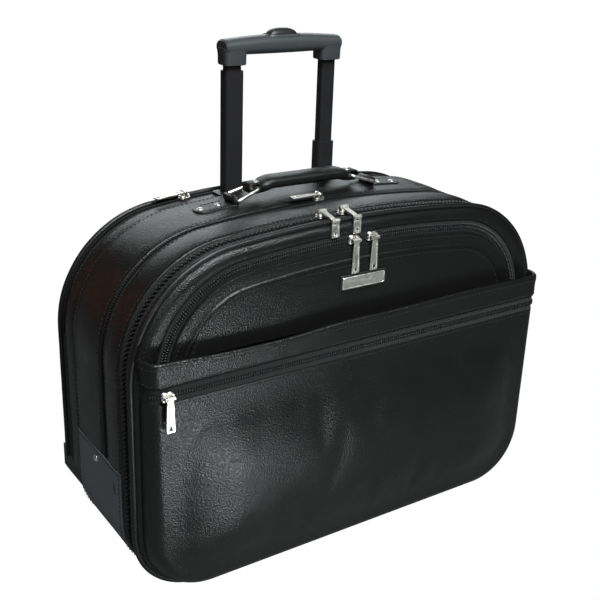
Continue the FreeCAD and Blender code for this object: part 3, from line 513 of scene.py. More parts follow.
def beads(places, way, up, length, thick, stations, sides=6, flat=1.0):
    """One small rounded bar at each place, along way, with stations of (run, size, lift)."""
    side = np.cross(way, up)
    angles = np.arange(sides) / sides * 2 * math.pi
    rings = []
    for run, size, lift in stations:
        centre = places + way * (run * length) + up * (lift * thick)
        for a in angles:
            rings.append(centre + side * (math.cos(a) * thick / 2 * size)
                         + up * (math.sin(a) * thick / 2 * size * flat))
    count, each = len(places), len(stations) * sides
    verts = np.stack(rings, 1).reshape(count * each, 3)
    one = grid_faces(len(stations), sides, wrap_cols=True)
    one.append(tuple(range(sides)))
    one.append(tuple(range(each - sides, each)))
    faces = [tuple(k * each + i for i in face) for k in range(count) for face in one]
    return verts.tolist(), faces


STITCH = ((-0.5, 0.35, -0.55), (-0.36, 0.9, 0.0), (0.0, 1.0, 0.22), (0.36, 0.9, 0.0), (0.5, 0.35, -0.55))
TOOTH = ((-0.5, 0.55, -0.2), (-0.36, 1.0, 0.0), (0.36, 1.0, 0.0), (0.5, 0.55, -0.2))


def stitch_row(name, points, normals, pitch=4.4, length=3.1, thick=0.62, material=None, closed=False):
    """A row of thread on a path, as a loose mesh."""
    places, way, up = along(points, normals, pitch, closed)
    verts, faces = beads(places, way, up, length, thick, STITCH)
    return raw(name, verts, faces, material or THREAD)


def raw(name, verts, faces, material):
    """A smooth loose mesh that needs no welding."""
    mesh = bpy.data.meshes.new(name)
    mesh.from_pydata((np.array(verts) * MM).tolist(), [], faces)
    mesh.polygons.foreach_set("use_smooth", [True] * len(mesh.polygons))
    mesh.materials.append(material)
    obj = bpy.data.objects.new(name, mesh)
    bpy.context.scene.collection.objects.link(obj)
    return obj


def tooth_row(name, points, normals, width, pitch=2.3, shift=0.5, closed=False, thick=1.6):
    """Zip teeth across a path, as a loose mesh."""
    places, way, up = along(points, normals, pitch, closed, shift)
    across = np.cross(way, up)
    verts, faces = beads(places, across, up, width, thick, TOOTH, sides=6, flat=1.25)
    return raw(name, verts, faces, COIL)


def line_path(line, y, off):
    """Points and normals on an outline, at one depth and distance from it."""
    pts = [(x + nx * off, y, z + nz * off) for x, z, nx, nz in line]
    return pts, [(nx, 0, nz) for x, z, nx, nz in line]


def above(line, z_min):
    """The stretch of an outline above a height, ending on it exactly."""
    rows = [tuple(r) for r in line if r[1] > z_min + 0.01]
    first, last = rows[0], rows[-1]
    ends = (first[0], z_min, first[2], first[3]), (last[0], z_min, last[2], last[3])
    return np.array([ends[0]] + rows + [ends[1]])


def base_run(inset, half):
    """The straight base of the case between two places, running to the right."""
    z = LOW_Z + inset
    return np.array([(lerp(-half, half, i / 60), z, 0, -1) for i in range(61)])


def strip(name, line, profile, material, wobble=None, closed=True, sharp=50):
    """A profile carried round an outline as a loose mesh, capped where it's open."""
    verts, faces = sweep(line, profile, wobble, closed)
    if not closed:
        faces.append(tuple(range(len(profile))))
        faces.append(tuple(range(len(verts) - len(profile), len(verts))))
    return loose(name, verts, faces, material, sharp)


# The case's wall: gussets, zip tapes, piping

def gusset(name, line, y0, y1, node, seed, body="root", closed=True):
    """One leather band of the wall with the stitching beside its edges."""
    depth = y1 - y0
    skin = strip(name + "_skin", line, rounded_band(y0, y1, min(1.3, depth * 0.06), WALL),
                 LEATHER, soft_wobble(0.5, 0.012, seed), closed)
    parts = [skin]
    for y in (y0 + 3.0, y1 - 3.0):
        pts, nors = line_path(line, y, 0.35)
        parts.append(stitch_row(name + "_thread", pts, nors, closed=closed))
    return join(name, parts, body, "leather", (node,))


def zip_half(name, line, y0, y1, tooth_y, width, body, node, shift=0.5, low=34.0, pitch=2.3, thick=1.6):
    """One tape of a zip, with its teeth above the hinge along the foot of the case."""
    profile = [(y0, -1.0), (lerp(y0, y1, 0.5), -0.9), (y1, -1.0), (y1, -WALL), (y0, -WALL)]
    tape = strip(name + "_tape", line, profile, TAPE)
    pts, nors = line_path(above(line, low), tooth_y, -0.55)
    teeth = tooth_row(name + "_teeth", pts, nors, width, pitch, shift, thick=thick)
    return join(name, [tape, teeth], body, "zip_tape", (node,))


def welt(name, line, y, body, node, lines=None):
    """Round leather piping along an outline, or along the pieces of it in lines."""
    ring = [(y + 2.5 * math.cos(a), 2.5 * math.sin(a)) for a in np.arange(12) / 12 * 2 * math.pi]
    parts = []
    for piece in lines or [line]:
        parts.append(strip(name + "_cord", piece, ring, WELT_LEATHER, soft_wobble(0.12, 0.05),
                           lines is None))
    return join(name, parts, body, "piping", (node,))


gusset("front_gusset_leather", CASE, -50.0, -19.0, "front_gusset", 3.0)
gusset("middle_gusset_leather", CASE, -11.0, 47.0, "middle_gusset", 9.0)
zip_half("main_zip_front", CASE, -66.0, -60.15, -61.4, 3.0, "lid", "main_zip_front_tape", 0.25,
         pitch=4.2, thick=2.5)
zip_half("main_zip_rear", CASE, -59.85, -50.0, -58.6, 3.0, "root", "main_zip_rear_tape", 0.75,
         pitch=4.2, thick=2.5)
zip_half("second_zip", CASE, -19.0, -11.0, -15.0, 4.6, "root", "second_zip_tape")
welt("front_welt", CASE, PIPING_Y, "lid", "front_piping")


def build_back_wall():
    """The narrower band in front of the rear zip, the zip's tape and the rear piping, round the wheels."""
    top, base = above(REAR, 74.0), base_run(BACK_INSET, 146.0)
    parts = []
    for line in (top, base):
        parts.append(strip("back_skin", line, rounded_band(47.0, 71.0, 1.2, WALL), LEATHER,
                           soft_wobble(0.5, 0.012, 5.0), False))
        for y in (50.0, 68.0):
            pts, nors = line_path(line, y, 0.35)
            parts.append(stitch_row("back_thread", pts, nors))
    join("back_gusset_leather", parts, "root", "leather", ("back_gusset",))
    parts = []
    for line in (top, base):
        profile = [(71.0, -1.0), (81.7, -1.0), (81.7, -WALL), (71.0, -WALL)]
        parts.append(strip("rear_tape", line, profile, TAPE, None, False))
    pts, nors = line_path(above(REAR, 206.0), 75.0, -0.55)
    parts.append(tooth_row("rear_teeth", pts, nors, 4.4))
    join("rear_zip", parts, "root", "zip_tape", ("rear_zip_tape",))
    welt("rear_welt", None, REAR_PIPING_Y, "root", "rear_piping", [top, base])


build_back_wall()


def plate(name, line, y0, y1, material, body, slot, node):
    """A flat sheet of an outline's shape between two depths, its rim rounded."""
    mid = (y0 + y1) / 2
    profile = [(y0, -0.6), (lerp(y0, mid, 0.4), 0.0), (lerp(y1, mid, 0.4), 0.0), (y1, -0.6)]
    verts, faces = [], []
    for y, off in profile:
        verts += [(x + nx * off, y, z + nz * off) for x, z, nx, nz in line]
    faces = grid_faces(len(profile), len(line), wrap_cols=True)
    faces += [tuple(range(len(line))), tuple(range(3 * len(line), 4 * len(line)))]
    return new_object(name, verts, faces, body, slot, material, 40, (node,))


plate("laptop_divider_cloth", case_line(WALL), -17.0, -13.0, LINING, "root", "lining", "laptop_divider")


def build_tray():
    """The lid's leather band and the lined board that closes it."""
    band = strip("tray_band", CASE, rounded_band(-71.5, -66.0, 0.4, WALL), LEATHER)
    pts, nors = line_path(CASE, -68.4, 0.25)
    thread = stitch_row("tray_thread", pts, nors, closed=True)
    rim = case_line(0.8)
    verts, rows = [], 0
    for y, off in ((-69.0, -3.2), (-69.0, -0.6), (-70.0, 0.0), (-72.6, 0.0), (-73.0, -0.6)):
        verts += [(x + nx * off, y, z + nz * off) for x, z, nx, nz in rim]
        rows += 1
    count = len(rim)
    faces = grid_faces(rows, count, wrap_cols=True)
    faces += [tuple(range(count)), tuple(range((rows - 1) * count, rows * count))]
    board = loose("tray_board", verts, faces, LINING)
    join("lid_tray_leather", [band, thread, board], "lid", "leather", ("lid_tray",))


build_tray()


def clip_line(line, low, top_count=220, base_count=90):
    """The part of an outline above a height, closed along it, evenly resampled."""
    rows = above(line, low)[:, :2]
    run = np.concatenate([[0], np.cumsum(np.linalg.norm(np.diff(rows, axis=0), axis=1))])
    at = np.linspace(0, run[-1], top_count)
    top = np.stack([np.interp(at, run, rows[:, k]) for k in (0, 1)], 1)
    base_x = np.linspace(rows[-1][0], rows[0][0], base_count + 2)[1:-1]
    base = np.stack([base_x, np.full(base_count, low)], 1)
    return np.vstack([top, base])


def ring_panel(line_at, low_at, rings, centre, inner, steps=16):
    """A panel as rings from its rim inwards: rings of (inset, depth), then evenly to the centre.

    inner gives the depth of the inside from the share of the way to the centre.
    """
    loops = []
    for inset, y in rings:
        flat = clip_line(line_at(inset), low_at(inset))
        loops.append([(x, y, z) for x, z in flat])
    last = np.array(loops[-1])
    for k in range(1, steps):
        t = k / steps
        loops.append([(lerp(x, centre[0], t), inner(t, lerp(x, centre[0], t), lerp(z, centre[1], t)),
                       lerp(z, centre[1], t)) for x, y, z in last])
    verts = [p for loop in loops for p in loop]
    count = len(last)
    faces = grid_faces(len(loops), count, wrap_cols=True)
    middle = len(verts)
    verts.append((centre[0], inner(1.0, centre[0], centre[1]), centre[1]))
    start = (len(loops) - 1) * count
    faces += [(start + i, start + (i + 1) % count, middle) for i in range(count)]
    return verts, faces, count


# Front of the lid

def build_border():
    """The leather border between the piping and the arched zip."""
    outer, inner = case_line(1.4), arch_line(5.0)
    shares = ((0.0, -72.5), (0.0, -74.4), (0.04, -75.9), (0.1, -77.0), (0.2, -78.1), (0.33, -79.0),
              (0.48, -79.6), (0.63, -79.8), (0.78, -79.6), (0.9, -79.1), (0.97, -78.4), (1.0, -77.0),
              (1.0, -73.0))
    puff = soft_wobble(0.35, 0.014, 21.0)
    verts = []
    for (x0, z0, *_), (x1, z1, *_) in zip(outer, inner):
        for t, y in shares:
            x, z = lerp(x0, x1, t), lerp(z0, z1, t)
            verts.append((x, y - (puff(x, 0, z, 0) if 0.1 < t < 0.95 else 0), z))
    faces = grid_faces(len(outer), len(shares), wrap_rows=True, wrap_cols=True)
    skin = loose("border_skin", verts, faces, LEATHER, 50)
    parts = [skin]
    for offset, y in ((8.2, -79.0), (19.5, -79.2)):
        rows = above(arch_line(offset), 240.0)
        pts = [(x, y, z) for x, z, nx, nz in rows]
        parts.append(stitch_row("border_thread", pts, [(0, -1, 0)] * len(pts)))
    join("front_border_leather", parts, "lid", "leather", ("front_border",))


build_border()


def arch_tape(name, near, far, body, node, low, shift):
    """One tape of the arched zip with its teeth, on the front of the lid."""
    rows = above(arch_line(0.0), low)
    profile = [(-78.0, near), (-78.0, far), (-76.0, far), (-76.0, near)]
    tape = strip(name + "_tape", rows, profile, TAPE, None, False)
    middle = 1.45 if near > 0 else -1.45
    pts = [(x + nx * middle, -78.45, z + nz * middle) for x, z, nx, nz in rows]
    teeth = tooth_row(name + "_teeth", pts, [(0, -1, 0)] * len(pts), 2.9, shift=shift)
    join(name, [tape, teeth], body, "zip_tape", (node,))


arch_tape("arch_zip_outer", 0.15, 5.0, "lid", "arch_zip_outer_tape", 226.0, 0.25)
arch_tape("arch_zip_inner", -0.15, -5.0, "organiser_flap", "arch_zip_inner_tape", 232.0, 0.75)


def build_organiser():
    """The organiser's flap: a flat leather margin, a raised seam and the plain panel inside it."""
    def line_at(inset):
        return arch_line(-5.0 - inset)

    def low_at(inset):
        return FLAP_LOW_Z + min(inset, 1.5)
    puff = soft_wobble(0.35, 0.013, 33.0)

    def inner(t, x, z):
        return -82.2 - 0.35 * smooth(t * 3) - 0.25 * puff(x, 0, z, 0)
    rings = ((6.0, -73.3), (0.4, -73.3), (0.0, -73.8), (0.0, -80.0), (0.5, -81.0), (1.8, -81.4),
             (6.0, -81.6), (10.0, -81.4), (10.8, -81.2), (11.2, -81.9), (11.9, -82.6), (12.9, -82.95),
             (13.9, -82.6), (14.6, -81.9), (15.2, -81.7), (16.4, -82.0), (22.0, -82.2))
    verts, faces, count = ring_panel(line_at, low_at, rings, (0.0, 264.0), inner)
    faces.append(tuple(range(count)))
    skin = loose("flap_skin", verts, faces, LEATHER, 45)
    parts = [skin]
    for inset, y in ((3.6, -81.5), (17.4, -82.15)):
        rows = above(line_at(inset), 236.0)
        pts = [(x, y, z) for x, z, nx, nz in rows]
        parts.append(stitch_row("flap_thread", pts, [(0, -1, 0)] * len(pts)))
    join("organiser_leather", parts, "organiser_flap", "leather", ("organiser_flap",))


build_organiser()


# Front pocket

def pocket_edge(x, z):
    """Distance from a point of the pocket panel to its sides and foot."""
    turn_x, turn_z = POCKET_HALF - POCKET_CORNER, POCKET_LOW_Z + POCKET_CORNER
    x = abs(x)
    if x > turn_x and z < turn_z:
        return POCKET_CORNER - math.hypot(x - turn_x, z - turn_z)
    return min(POCKET_HALF - x, z - POCKET_LOW_Z)


def pocket_face(x, z):
    """Depth of the stuffed front pocket's face."""
    edge = max(pocket_edge(x, z), 0.0)
    rise = 17.0 * dome(edge / 12.5)
    swell = smooth((POCKET_HALF - abs(x)) / 82.0) * smooth((204.0 - z) / 78.0) * smooth((z - 16.0) / 62.0)
    return SEAT_Y - rise - 12.6 * swell


def pocket_rows(half_at, rows, cols):
    """Grid of x and z over the pocket panel, closer together near its rim."""
    out = []
    for r in range(rows + 1):
        t = r / rows
        share = 0.5 - 0.5 * math.cos(math.pi * min(t * 1.02, 1.0)) if t < 0.98 else 1.0
        z = lerp(POCKET_LOW_Z, 206.0, share)
        half = half_at(z)
        out.append([(math.sin(math.pi / 2 * lerp(-1, 1, c / cols)) * half, z) for c in range(cols + 1)])
    return out


def pocket_half(z):
    """Half of the pocket panel's width at one height."""
    if z >= POCKET_LOW_Z + POCKET_CORNER:
        return POCKET_HALF
    drop = POCKET_LOW_Z + POCKET_CORNER - z
    return POCKET_HALF - POCKET_CORNER + math.sqrt(max(POCKET_CORNER ** 2 - drop ** 2, 0.0))


def build_pocket_panel():
    """The stuffed leather panel of the front pocket."""
    grid = pocket_rows(pocket_half, 96, 150)
    puff = soft_wobble(1.2, 0.011, 51.0)
    front, back = [], []
    for line in grid:
        for x, z in line:
            y = pocket_face(x, z)
            edge = pocket_edge(x, z)
            y -= puff(x, 0, z, 0) * smooth(edge / 30.0) * smooth((200 - z) / 30.0)
            front.append((x, y, z))
            back.append((x, min(y + 4.0, SEAT_Y + 0.2), z))

    def free(x, y, z):
        return smooth((pocket_edge(x, z) - 12.0) / 28.0) * smooth((196.0 - z) / 26.0)
    skin = loose("pocket_skin", front + back, closed_sheet(len(front), len(grid[0])), LEATHER, 60)
    stuffed(skin, free, 4.0, thicker=12.0)
    parts = [skin]
    xs = np.linspace(-203, 203, 160)
    pts = [(x, pocket_face(x, 203.4) - 0.1, 203.4) for x in xs]
    parts.append(stitch_row("pocket_thread", pts, [(0, -1, 0.1)] * len(pts)))
    panel = join("pocket_panel_leather", parts, "lid", "leather", ("pocket_panel",))


build_pocket_panel()


def plan_line(count=150, turn=18):
    """The pocket's front seen from above: points with their outward normals, left to right."""
    deep, wide = SEAT_Y - POCKET_Y, POCKET_HALF - POCKET_TURN
    rows = []
    for i in range(turn):
        a = i / turn * math.pi / 2
        c, s = math.cos(a), math.sin(a)
        rows.append((-POCKET_TURN - wide * c, SEAT_Y - deep * s, -c, -s))
    for i in range(count):
        rows.append((lerp(-POCKET_TURN, POCKET_TURN, i / count), POCKET_Y, 0.0, -1.0))
    for i in range(turn + 1):
        a = math.pi / 2 * (1 - i / turn)
        c, s = math.cos(a), math.sin(a)
        rows.append((POCKET_TURN + wide * c, SEAT_Y - deep * s, c, -s))
    return rows


PLAN = plan_line()


def hem_top(x):
    """Height of the hem's slack upper edge."""
    sag = 3.2 * math.exp(-((x + 118.0) / 62.0) ** 2) - 1.6 * math.exp(-((x - 120.0) / 60.0) ** 2)
    return POCKET_TOP - sag - 0.5 * math.sin(x / 17.0) * math.exp(-((x + 60.0) / 90.0) ** 2)


def upright_strip(name, profile_at, material, sharp=50):
    """A strip carried round the pocket's front: profile_at gives (height, offset) pairs at x."""
    verts = []
    for x, y, nx, ny in PLAN:
        profile = profile_at(x)
        verts += [(x + nx * off, min(y + ny * off, SEAT_Y + 2.0), z) for z, off in profile]
    size = len(profile)
    faces = grid_faces(len(PLAN), size, wrap_cols=True)
    faces += [tuple(range(size)), tuple(range(len(verts) - size, len(verts)))]
    return loose(name, verts, faces, material, sharp)


def build_pocket_top():
    """The pocket's zip, and the folded leather hem of the slash pocket above it."""
    def tape_at(x):
        return ((205.2, -1.0), (219.6 + 0.8, -1.0), (220.4, -3.0), (205.2, -3.0))

    def hem_at(x):
        top = hem_top(x)
        lean = 1.6 * smooth((POCKET_TURN - abs(x)) / 60.0)
        rows = ((0.0, -1.4), (0.02, 0.1), (0.08, 0.6), (0.3, 0.7), (0.5, 0.5), (0.8, 0.9), (0.93, 0.9),
                (0.985, 0.3), (1.0, -0.8), (1.0, -2.0), (0.975, -3.0), (0.8, -3.3), (0.4, -3.4), (0.0, -3.6))
        return [(lerp(220.0, top, t), off + lean * t * t) for t, off in rows]
    tape = upright_strip("pocket_tape", tape_at, TAPE)
    inside = [(x - nx * 0.6, y - ny * 0.6, POCKET_ZIP_Z) for x, y, nx, ny in PLAN[8:-8]]
    nors = [(nx, ny, 0.0) for x, y, nx, ny in PLAN[8:-8]]
    teeth = tooth_row("pocket_teeth", inside, nors, 4.6)
    join("pocket_zip", [tape, teeth], "lid", "zip_tape", ("pocket_zip_tape",))
    parts = [upright_strip("hem_skin", hem_at, LEATHER, 60)]
    for low, high, off in ((222.6, 0.0, 0.75), (0.0, 5.2, 1.75)):
        pts = []
        for x, y, nx, ny in PLAN:
            lean = 1.6 * smooth((POCKET_TURN - abs(x)) / 60.0)
            z = low if low else hem_top(x) - high
            t = (z - 220.0) / (hem_top(x) - 220.0)
            reach = 0.65 + lean * t * t + (0.3 if t > 0.6 else 0.0)
            pts.append((x + nx * reach, y + ny * reach, z))
        nors = [(nx, ny, 0.0) for x, y, nx, ny in PLAN]
        parts.append(stitch_row("hem_thread", pts, nors))
    tack = [(-213.6, -82.0, 236.5), (-211.6, -86.5, 237.4)]
    parts.append(stitch_row("hem_tack", tack, [(-1, -0.6, 0)] * 2, 4.9, 4.6, 0.9, PALE_THREAD))
    join("pocket_hem_leather", parts, "lid", "leather", ("pocket_hem",))


build_pocket_top()


def sheet_block(name, x0, x1, y0, y1, z0, z1, material, body, slot, node):
    """A thin upright sheet with softened edges."""
    verts, r = [], 0.5
    for y, inset in ((y0, r), (lerp(y0, y1, 0.5), 0.0), (y1, r)):
        verts += [(x0 + inset, y, z0 + inset), (x1 - inset, y, z0 + inset),
                  (x1 - inset, y, z1 - inset), (x0 + inset, y, z1 - inset)]
    faces = grid_faces(3, 4, wrap_cols=True) + [(0, 1, 2, 3), (8, 9, 10, 11)]
    return new_object(name, verts, faces, body, slot, material, 40, (node,))


sheet_block("pocket_divider_cloth", -194.0, 194.0, -92.0, -90.5, 90.0, 236.0, LINING, "lid", "lining",
            "pocket_divider")


# Side guards and rivets

def build_guards():
    """The leather corner guards, stitched on near their edges."""
    rows = [tuple(r) for r in CASE if r[0] > 158.0 and r[1] < 122.0]
    last = (HALF_WIDTH, 122.0, 1.0, 0.0)
    right = [(158.0, LOW_Z, 0.0, -1.0)] + rows + [last]
    parts = []
    for side in (1, -1):
        line = np.array([(side * x, z, side * nx, nz) for x, z, nx, nz in right])
        dense = [-48.0 + 94.0 * k / 20 for k in range(21)]
        full = [(-48.0, -0.2), (-48.0, 0.8)] + [(y, 1.3) for y in dense[1:-1]] + [(46.0, 0.8), (46.0, -0.2)]
        parts.append(strip("guard_skin", line, full, GUARD_LEATHER, soft_wobble(0.25, 0.02, 70.0), False))
        for y in (-45.6, 43.6):
            pts, nors = line_path(line, y, 1.45)
            parts.append(stitch_row("guard_thread", pts, nors))
        across = [(side * 221.45, y, 119.6) for y in np.linspace(-45.0, 43.0, 30)]
        parts.append(stitch_row("guard_thread", across, [(side, 0, 0)] * 30))
    join("side_guard_leather", parts, "root", "leather", ("side_guards",))


build_guards()


def stud(centre, axis, radius, height, material, name="stud"):
    """A domed rivet head with a flat rim."""
    axis = Vector(axis).normalized()
    side = axis.orthogonal().normalized()
    other = axis.cross(side)
    centre = Vector(centre)
    rings = ((1.0, -0.4), (1.0, 0.18), (0.94, 0.3), (0.82, 0.34), (0.76, 0.45), (0.6, 0.74), (0.38, 0.93),
             (0.15, 1.0))
    verts = []
    for size, lift in rings:
        for k in range(20):
            a = k / 20 * 2 * math.pi
            around = side * math.cos(a) + other * math.sin(a)
            verts.append(tuple(centre + axis * (lift * height) + around * radius * size))
    faces = grid_faces(len(rings), 20, wrap_cols=True) + [tuple(range(20)), tuple(range(140, 160))]
    return loose(name, verts, faces, material, 50)


def top_z(x, inset=0.0, drop=0.0):
    """Height of the case's top at one place across its width."""
    run = HALF_WIDTH - TOP_CORNER
    corner = TOP_CORNER - inset
    lift = -CROWN - corner
    big = (corner ** 2 - run ** 2 - lift ** 2) / (2 * lift + 2 * corner)
    return HIGH_Z - inset - drop - big + math.sqrt(big ** 2 - x ** 2)


def build_rivets():
    """Rivets of the guards and of the handle's chapes."""
    parts = []
    for side in (-1, 1):
        parts.append(stud((side * 221.4, 4.0, 112.0), (side, 0, 0), 3.5, 1.6, NICKEL))
        for x in (108.0, 90.0):
            parts.append(stud((side * x, 18.0, top_z(x) + 2.1), (side * x / 1111, 0, 1), 3.5, 1.5, NICKEL))
    join("rivet_heads", parts, "root", "nickel", ("rivets",))


build_rivets()


# Back of the case

def build_back_flap():
    """The padded flap that the rear zip opens."""
    def line_at(inset):
        return case_line(4.0 + inset, BACK_DROP)

    def low_at(inset):
        return 205.3 + min(inset, 6.0)
    puff = soft_wobble(0.6, 0.012, 90.0)

    def inner(t, x, z):
        return 89.4 + 1.6 * smooth(t * 2.2) + puff(x, 0, z, 0)
    rings = ((8.0, 82.0), (0.4, 82.0), (0.0, 82.6), (0.2, 84.5), (0.9, 86.4), (2.2, 87.8), (4.0, 88.5),
             (6.5, 88.6), (8.0, 88.2), (9.5, 88.7), (13.0, 89.2), (20.0, 89.4))
    verts, faces, count = ring_panel(line_at, low_at, rings, (0.0, 258.0), inner)
    faces.append(tuple(range(count)))

    def free(x, y, z):
        return smooth((y - 88.6) / 1.0) * smooth((z - 219.0) / 18.0) * smooth((200 - abs(x)) / 25.0)
    skin = loose("back_flap_skin", verts, faces, LEATHER, 50)
    stuffed(skin, free, 2.5, 4.0)
    parts = [skin]
    rows = clip_line(line_at(8.0), 213.3)
    pts = [(x, 88.35, z) for x, z in rows]
    parts.append(stitch_row("back_flap_thread", pts, [(0, 1, 0)] * len(pts), closed=True))
    flap = join("back_flap_leather", parts, "back_flap", "leather", ("back_flap",))


build_back_flap()


def build_lower_back():
    """The padded panel below the back flap, cut out for the wheels' housings."""
    half, notch_x, notch_z, low, high = 218.5, 146.0, 74.0, LOW_Z + BACK_INSET, FLAP_SEAM_Z

    def edge(x, z):
        x = abs(x)
        out = min(half - x, high - z, z - low)
        if z < notch_z:
            out = min(out, notch_x - x)
        elif x > notch_x:
            out = min(out, z - notch_z)
        else:
            out = min(out, math.hypot(notch_x - x, z - notch_z))
        return max(out, 0.0)
    puff = soft_wobble(0.9, 0.011, 120.0)

    def face(x, z):
        d = edge(x, z)
        y = 83.0 + 7.0 * dome(d / 4.0) + 5.2 * smooth((d - 3.0) / 34.0)
        groove = math.exp(-((d - 9.0) / 1.3) ** 2)
        return min(y - 0.7 * groove + puff(x, 0, z, 0) * smooth(d / 30.0), 97.0)

    def block(x0, x1, z0, z1, cols, rows):
        xs = [lerp(x0, x1, 0.5 - 0.5 * math.cos(math.pi * i / cols)) for i in range(cols + 1)]
        zs = [lerp(z0, z1, 0.5 - 0.5 * math.cos(math.pi * i / rows)) for i in range(rows + 1)]
        front = [(x, face(x, z), z) for z in zs for x in xs]
        back = [(x, 82.3, z) for z in zs for x in xs]
        return loose("lower_back_skin", front + back, closed_sheet(len(front), cols + 1), LEATHER, 60)

    def free(x, y, z):
        return smooth((edge(x, z) - 10.0) / 22.0) * smooth(abs(z - notch_z) / 25.0)
    parts = [block(-notch_x, notch_x, low, notch_z, 90, 30), block(-half, half, notch_z, high, 130, 60)]
    for skin in parts:
        stuffed(skin, free, 2.5)
    path = [(-137, 20.5), (137, 20.5), (137, 83), (209.5, 83), (209.5, 196), (-209.5, 196), (-209.5, 83),
            (-137, 83)]
    pts = []
    for (x0, z0), (x1, z1) in zip(path, path[1:] + path[:1]):
        for i in range(30):
            x, z = lerp(x0, x1, i / 30), lerp(z0, z1, i / 30)
            pts.append((x, face(x, z) + 0.1, z))
    parts.append(stitch_row("lower_back_thread", pts, [(0, 1, 0)] * len(pts), closed=True))
    panel = join("lower_back_leather", parts, "root", "leather", ("lower_back_panel",))


build_lower_back()


# Carry handle

HANDLE_Y = 18.0
PIVOT_X = 76.0
PIVOT_Z = top_z(PIVOT_X) + 5.4
RING_TILT = math.radians(17.5)
RING_END_X = PIVOT_X - 25.0 * math.cos(RING_TILT)
RING_END_Z = PIVOT_Z + 25.0 * math.sin(RING_TILT)


def swept(name, sections, material, sharp=40, caps=True):
    """A skin over rings of points of equal count."""
    count = len(sections[0])
    verts = [tuple(p) for ring in sections for p in ring]
    faces = grid_faces(len(sections), count, wrap_cols=True)
    if caps:
        faces += [tuple(range(count)), tuple(range(len(verts) - count, len(verts)))]
    return loose(name, verts, faces, material, sharp)


def oval(half_y, half_z, power, count=32):
    """Points of a rounded cross-section in y and z."""
    out = []
    for k in range(count):
        a = k / count * 2 * math.pi
        c, s = math.cos(a), math.sin(a)
        out.append((half_y * bulge(c, 2 / power), half_z * bulge(s, 2 / power)))
    return out


def build_handle():
    """The padded leather handle, narrowing to the two loops that hold the rings."""
    puff = soft_wobble(0.35, 0.03, 140.0)
    sections = []
    for i in range(61):
        x = lerp(-50.5, 50.5, i / 60)
        end = abs(x) / 50.5
        full = dome((1 - end) / 0.16) if end > 0.84 else 1.0
        half_y = lerp(5.4, 10.9, full)
        half_z = lerp(3.6, 6.0, full)
        centre_z = lerp(RING_END_Z, 340.0, smooth((1 - end) / 0.3))
        ring = []
        for y, z in oval(half_y, half_z, 2.4):
            crease = 0.5 * math.exp(-(z / 0.9) ** 2) if abs(y) > 3 and full > 0.6 else 0.0
            y -= math.copysign(crease, y)
            bump = puff(x, y * 2, z, 0)
            ring.append((x, HANDLE_Y + y * (1 + bump / 14), centre_z + z * (1 + bump / 9)))
        sections.append(ring)
    parts = [swept("handle_skin", sections, PLAIN_LEATHER, 60)]
    for side in (-1, 1):
        xs = np.linspace(-43, 43, 40)
        pts = [(x, HANDLE_Y + side * 9.9, 342.3) for x in xs]
        parts.append(stitch_row("handle_thread", pts, [(0, side * 0.8, 0.6)] * 40, 3.6, 2.6))
    for side in (-1, 1):
        loop = []
        outer = loop_outline(side * 53.4, RING_END_Z, 8.1, 5.0)
        inner = loop_outline(side * 54.0, RING_END_Z, 5.5, 3.0)
        for y, grow in ((-6.0, -0.7), (-5.4, 0.0), (5.4, 0.0), (6.0, -0.7)):
            loop.append([(x + nx * grow, HANDLE_Y + y, z + nz * grow) for x, z, nx, nz in outer])
        for y, grow in ((6.0, -0.5), (5.4, 0.0), (-5.4, 0.0), (-6.0, -0.5)):
            loop.append([(x - nx * grow, HANDLE_Y + y, z - nz * grow) for x, z, nx, nz in inner])
        loop.append(loop[0])
        parts.append(swept("handle_loop", loop, PLAIN_LEATHER, 50, False))
        parts.append(stud((side * 51.4, HANDLE_Y, RING_END_Z + 4.9), (0, 0, 1), 3.3, 1.5, NICKEL))
    handle = join("carry_handle_leather", parts, "carry_handle", "leather", ("carry_handle",))


def loop_outline(cx, cz, half_x, half_z, count=40):
    """A rounded oblong seen from the front, with outward normals."""
    out = []
    for k in range(count):
        a = k / count * 2 * math.pi
        c, s = math.cos(a), math.sin(a)
        x, z = half_x * bulge(c, 0.62), half_z * bulge(s, 0.62)
        size = math.hypot(c, s)
        out.append((cx + x, cz + z, c / size, s / size))
    return out


build_handle()


def wire_loop(corners, radius, bend, material, name, sides=14, steps=7):
    """A closed wire through corners, with rounded bends."""
    pts = []
    count = len(corners)
    for i, here in enumerate(corners):
        here = Vector(here)
        before = (Vector(corners[i - 1]) - here).normalized()
        after = (Vector(corners[(i + 1) % count]) - here).normalized()
        a, b = here + before * bend, here + after * bend
        for k in range(steps + 1):
            t = k / steps
            pts.append(a * (1 - t) ** 2 + here * (2 * t * (1 - t)) + b * t ** 2)
    first, second, third = (Vector(corner) for corner in corners[:3])
    normal = (second - first).cross(third - second).normalized()
    sections = []
    for i, p in enumerate(pts):
        way = (pts[(i + 1) % len(pts)] - pts[i - 1]).normalized()
        side = way.cross(normal).normalized()
        sections.append([tuple(p + (side * math.cos(a) + normal * math.sin(a)) * radius)
                         for a in np.arange(sides) / sides * 2 * math.pi])
    sections.append(sections[0])
    return swept(name, sections, material, 60, False)


for side, label in ((-1, "left"), (1, "right")):
    ring_corners = [(side * PIVOT_X, HANDLE_Y - 12.4, PIVOT_Z), (side * PIVOT_X, HANDLE_Y + 12.4, PIVOT_Z),
                    (side * RING_END_X, HANDLE_Y + 8.6, RING_END_Z),
                    (side * RING_END_X, HANDLE_Y - 8.6, RING_END_Z)]
    ring = wire_loop(ring_corners, 1.6, 2.6, NICKEL, label + "_ring_wire")
    join(label + "_ring_wire", [ring], label + "_ring", "nickel", (label + "_handle_ring",))


